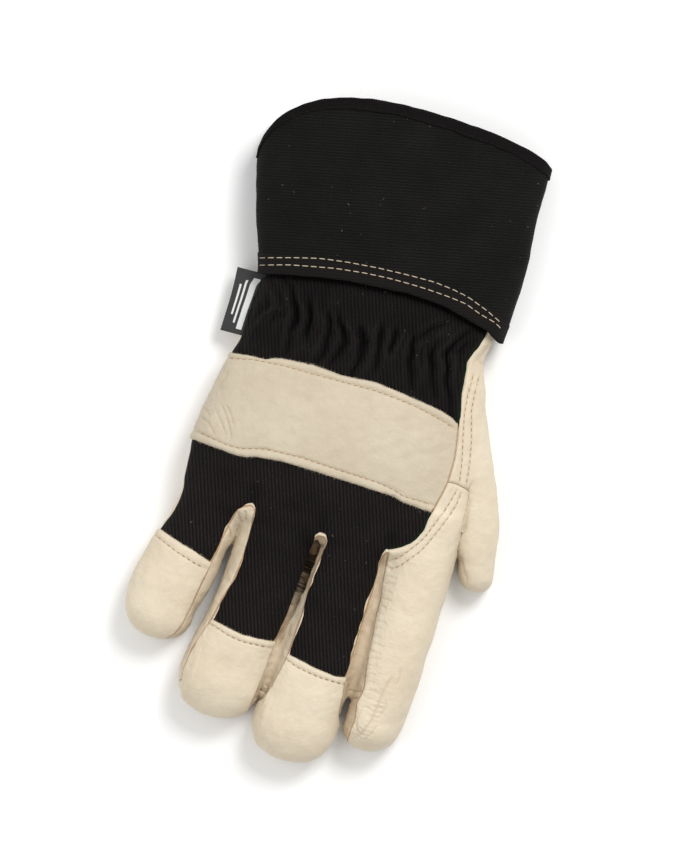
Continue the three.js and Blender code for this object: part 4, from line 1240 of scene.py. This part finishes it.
# The pitch, the length and the radius of stitches
CUFF_SEWING, TAPE_SEWING = (3.5, 2.8, 0.2), (3.0, 2.2, 0.13)
LEATHER_SEWING, TIP_SEWING = (2.6, 1.75, 0.17), (2.5, 1.7, 0.17)
stitch_row("cuff_stitches", HEM_STITCHES, "cuff", cuff_thread, *CUFF_SEWING)
hem_span = np.linspace(-46, 52, 60)
under_rows = [list(zip(hem_span, hem_at(hem_span) + rise)) for rise in (4.0, 7.1)]
stitch_row("cuff_stitches_under", under_rows, "cuff", cuff_thread, *CUFF_SEWING, below=True)
binding_x = np.linspace(-54, 50, 80)
binding_line = list(zip(binding_x, mouth_at(binding_x) - BINDING_DEPTH))
stitch_row("binding_stitches", [binding_line], "cuff_binding", black_thread, *TAPE_SEWING)
stitch_row("strap_stitches", STRAP_STITCHES, "knuckle_strap", tan_thread, *LEATHER_SEWING)
for digit, line in CAP_STITCHES.items():
    stitch_row(f"{digit}_tip_stitches", [line], f"{digit}_tip", tan_thread, *TIP_SEWING)
stitch_row("strip_stitches", STRIP_STITCHES, "thumb", tan_thread, *LEATHER_SEWING)
stitch_row("index_stitches", INDEX_STITCHES, "index_back", tan_thread, *LEATHER_SEWING)


def fibre_row(name, lines, target, outward, seed, step=0.3):
    """Short pale fibres along the raw edge of a turned flap, as one piece."""
    tree = tree_of(target)
    chance = np.random.RandomState(seed)
    turn = np.linspace(0, 2 * np.pi, 3, endpoint=False)
    around = np.column_stack([np.cos(turn), np.zeros(3), np.sin(turn)])
    strand = grid_faces(np.arange(12).reshape(4, 3), 0, 1)
    made, faces = [], []
    for line in lines:
        corners, start = measured(line)
        for place in np.arange(0.5, start[-1], step):
            x, y = (np.interp(place, start, corners[:, i]) for i in (0, 1))
            hit, _, _, _ = tree.ray_cast(Vector((x, y - 0.4 * outward, 100)), Vector((0, 0, -1)))
            length, lean = chance.uniform(0.5, 1.1), chance.uniform(-0.8, 0.8)
            rise = chance.uniform(-0.35, 0.3)
            if hit is None:
                continue
            t = np.linspace(0, 1, 4)[:, None]
            bend = t * t * np.array([[chance.uniform(-0.4, 0.4), 0, -0.25]])
            centre = np.array(hit) + t * length * np.array([[lean, outward, rise]]) + bend
            faces.append(strand + 12 * len(made))
            made.append((centre[:, None] + around[None] * 0.045 * (1.1 - t)[:, :, None]).reshape(-1, 3))
    piece(name, np.vstack(made), np.vstack(faces), leather, values={"tone": np.full(12 * len(made), 1.25)})


fibre_row("strap_top_fibres", [STRAP_TOP[1:]], "knuckle_strap", 1, 81)
fibre_row("strap_bottom_fibres", [STRAP_BOTTOM[1:]], "knuckle_strap", -1, 82)
for digit, line in TIP_SEAMS.items():
    fibre_row(f"{digit}_tip_fibres", [line], f"{digit}_tip", 1, len(digit) + 83)

# Camera, floor and lights
LENS, SENSOR = 500.0, 36.0
VIEW_LONG = 353.4 * MM
camera_data = bpy.data.cameras.new("camera")
camera_data.lens, camera_data.sensor_width = LENS, SENSOR
camera = bpy.data.objects.new("camera", camera_data)
bpy.context.scene.collection.objects.link(camera)
camera.location = (-0.52 * MM, 0.88 * MM, 0.012 + VIEW_LONG * LENS / SENSOR)
camera.rotation_euler = (0, 0, math.radians(15))
camera_data.clip_start, camera_data.clip_end = 0.05, 20
bpy.context.scene.camera = camera

floor_material, _, floor_shader = new_material("floor")
floor_shader.inputs["Base Color"].default_value = (0.92, 0.92, 0.915, 1)
floor_shader.inputs["Roughness"].default_value = 0.9
floor_mesh = bpy.data.meshes.new("floor")
floor_corners = [(x, y, -0.0004) for x, y in ((-3, -3), (3, -3), (3, 3), (-3, 3))]
floor_mesh.from_pydata(floor_corners, [], [(0, 1, 2, 3)])
floor_mesh.materials.append(floor_material)
floor = bpy.data.objects.new("floor", floor_mesh)
bpy.context.scene.collection.objects.link(floor)


def area_light(name, place, target, size, power):
    data = bpy.data.lights.new(name, "AREA")
    data.size, data.energy = size, power
    light = bpy.data.objects.new(name, data)
    light.location = place
    light.rotation_euler = (Vector(target) - Vector(place)).to_track_quat("-Z", "Y").to_euler()
    bpy.context.scene.collection.objects.link(light)


area_light("key", (0.3, 0.7, 0.95), (0, 0, 0), 0.5, 10)
area_light("fill", (-0.65, -0.25, 1.0), (0, 0, 0), 0.9, 3.6)
world = bpy.data.worlds.new("studio")
world.use_nodes = True
world.node_tree.nodes["Background"].inputs["Color"].default_value = (1, 1, 1, 1)
world.node_tree.nodes["Background"].inputs["Strength"].default_value = 0.645
bpy.context.scene.world = world
bpy.context.scene.view_settings.view_transform = "Standard"
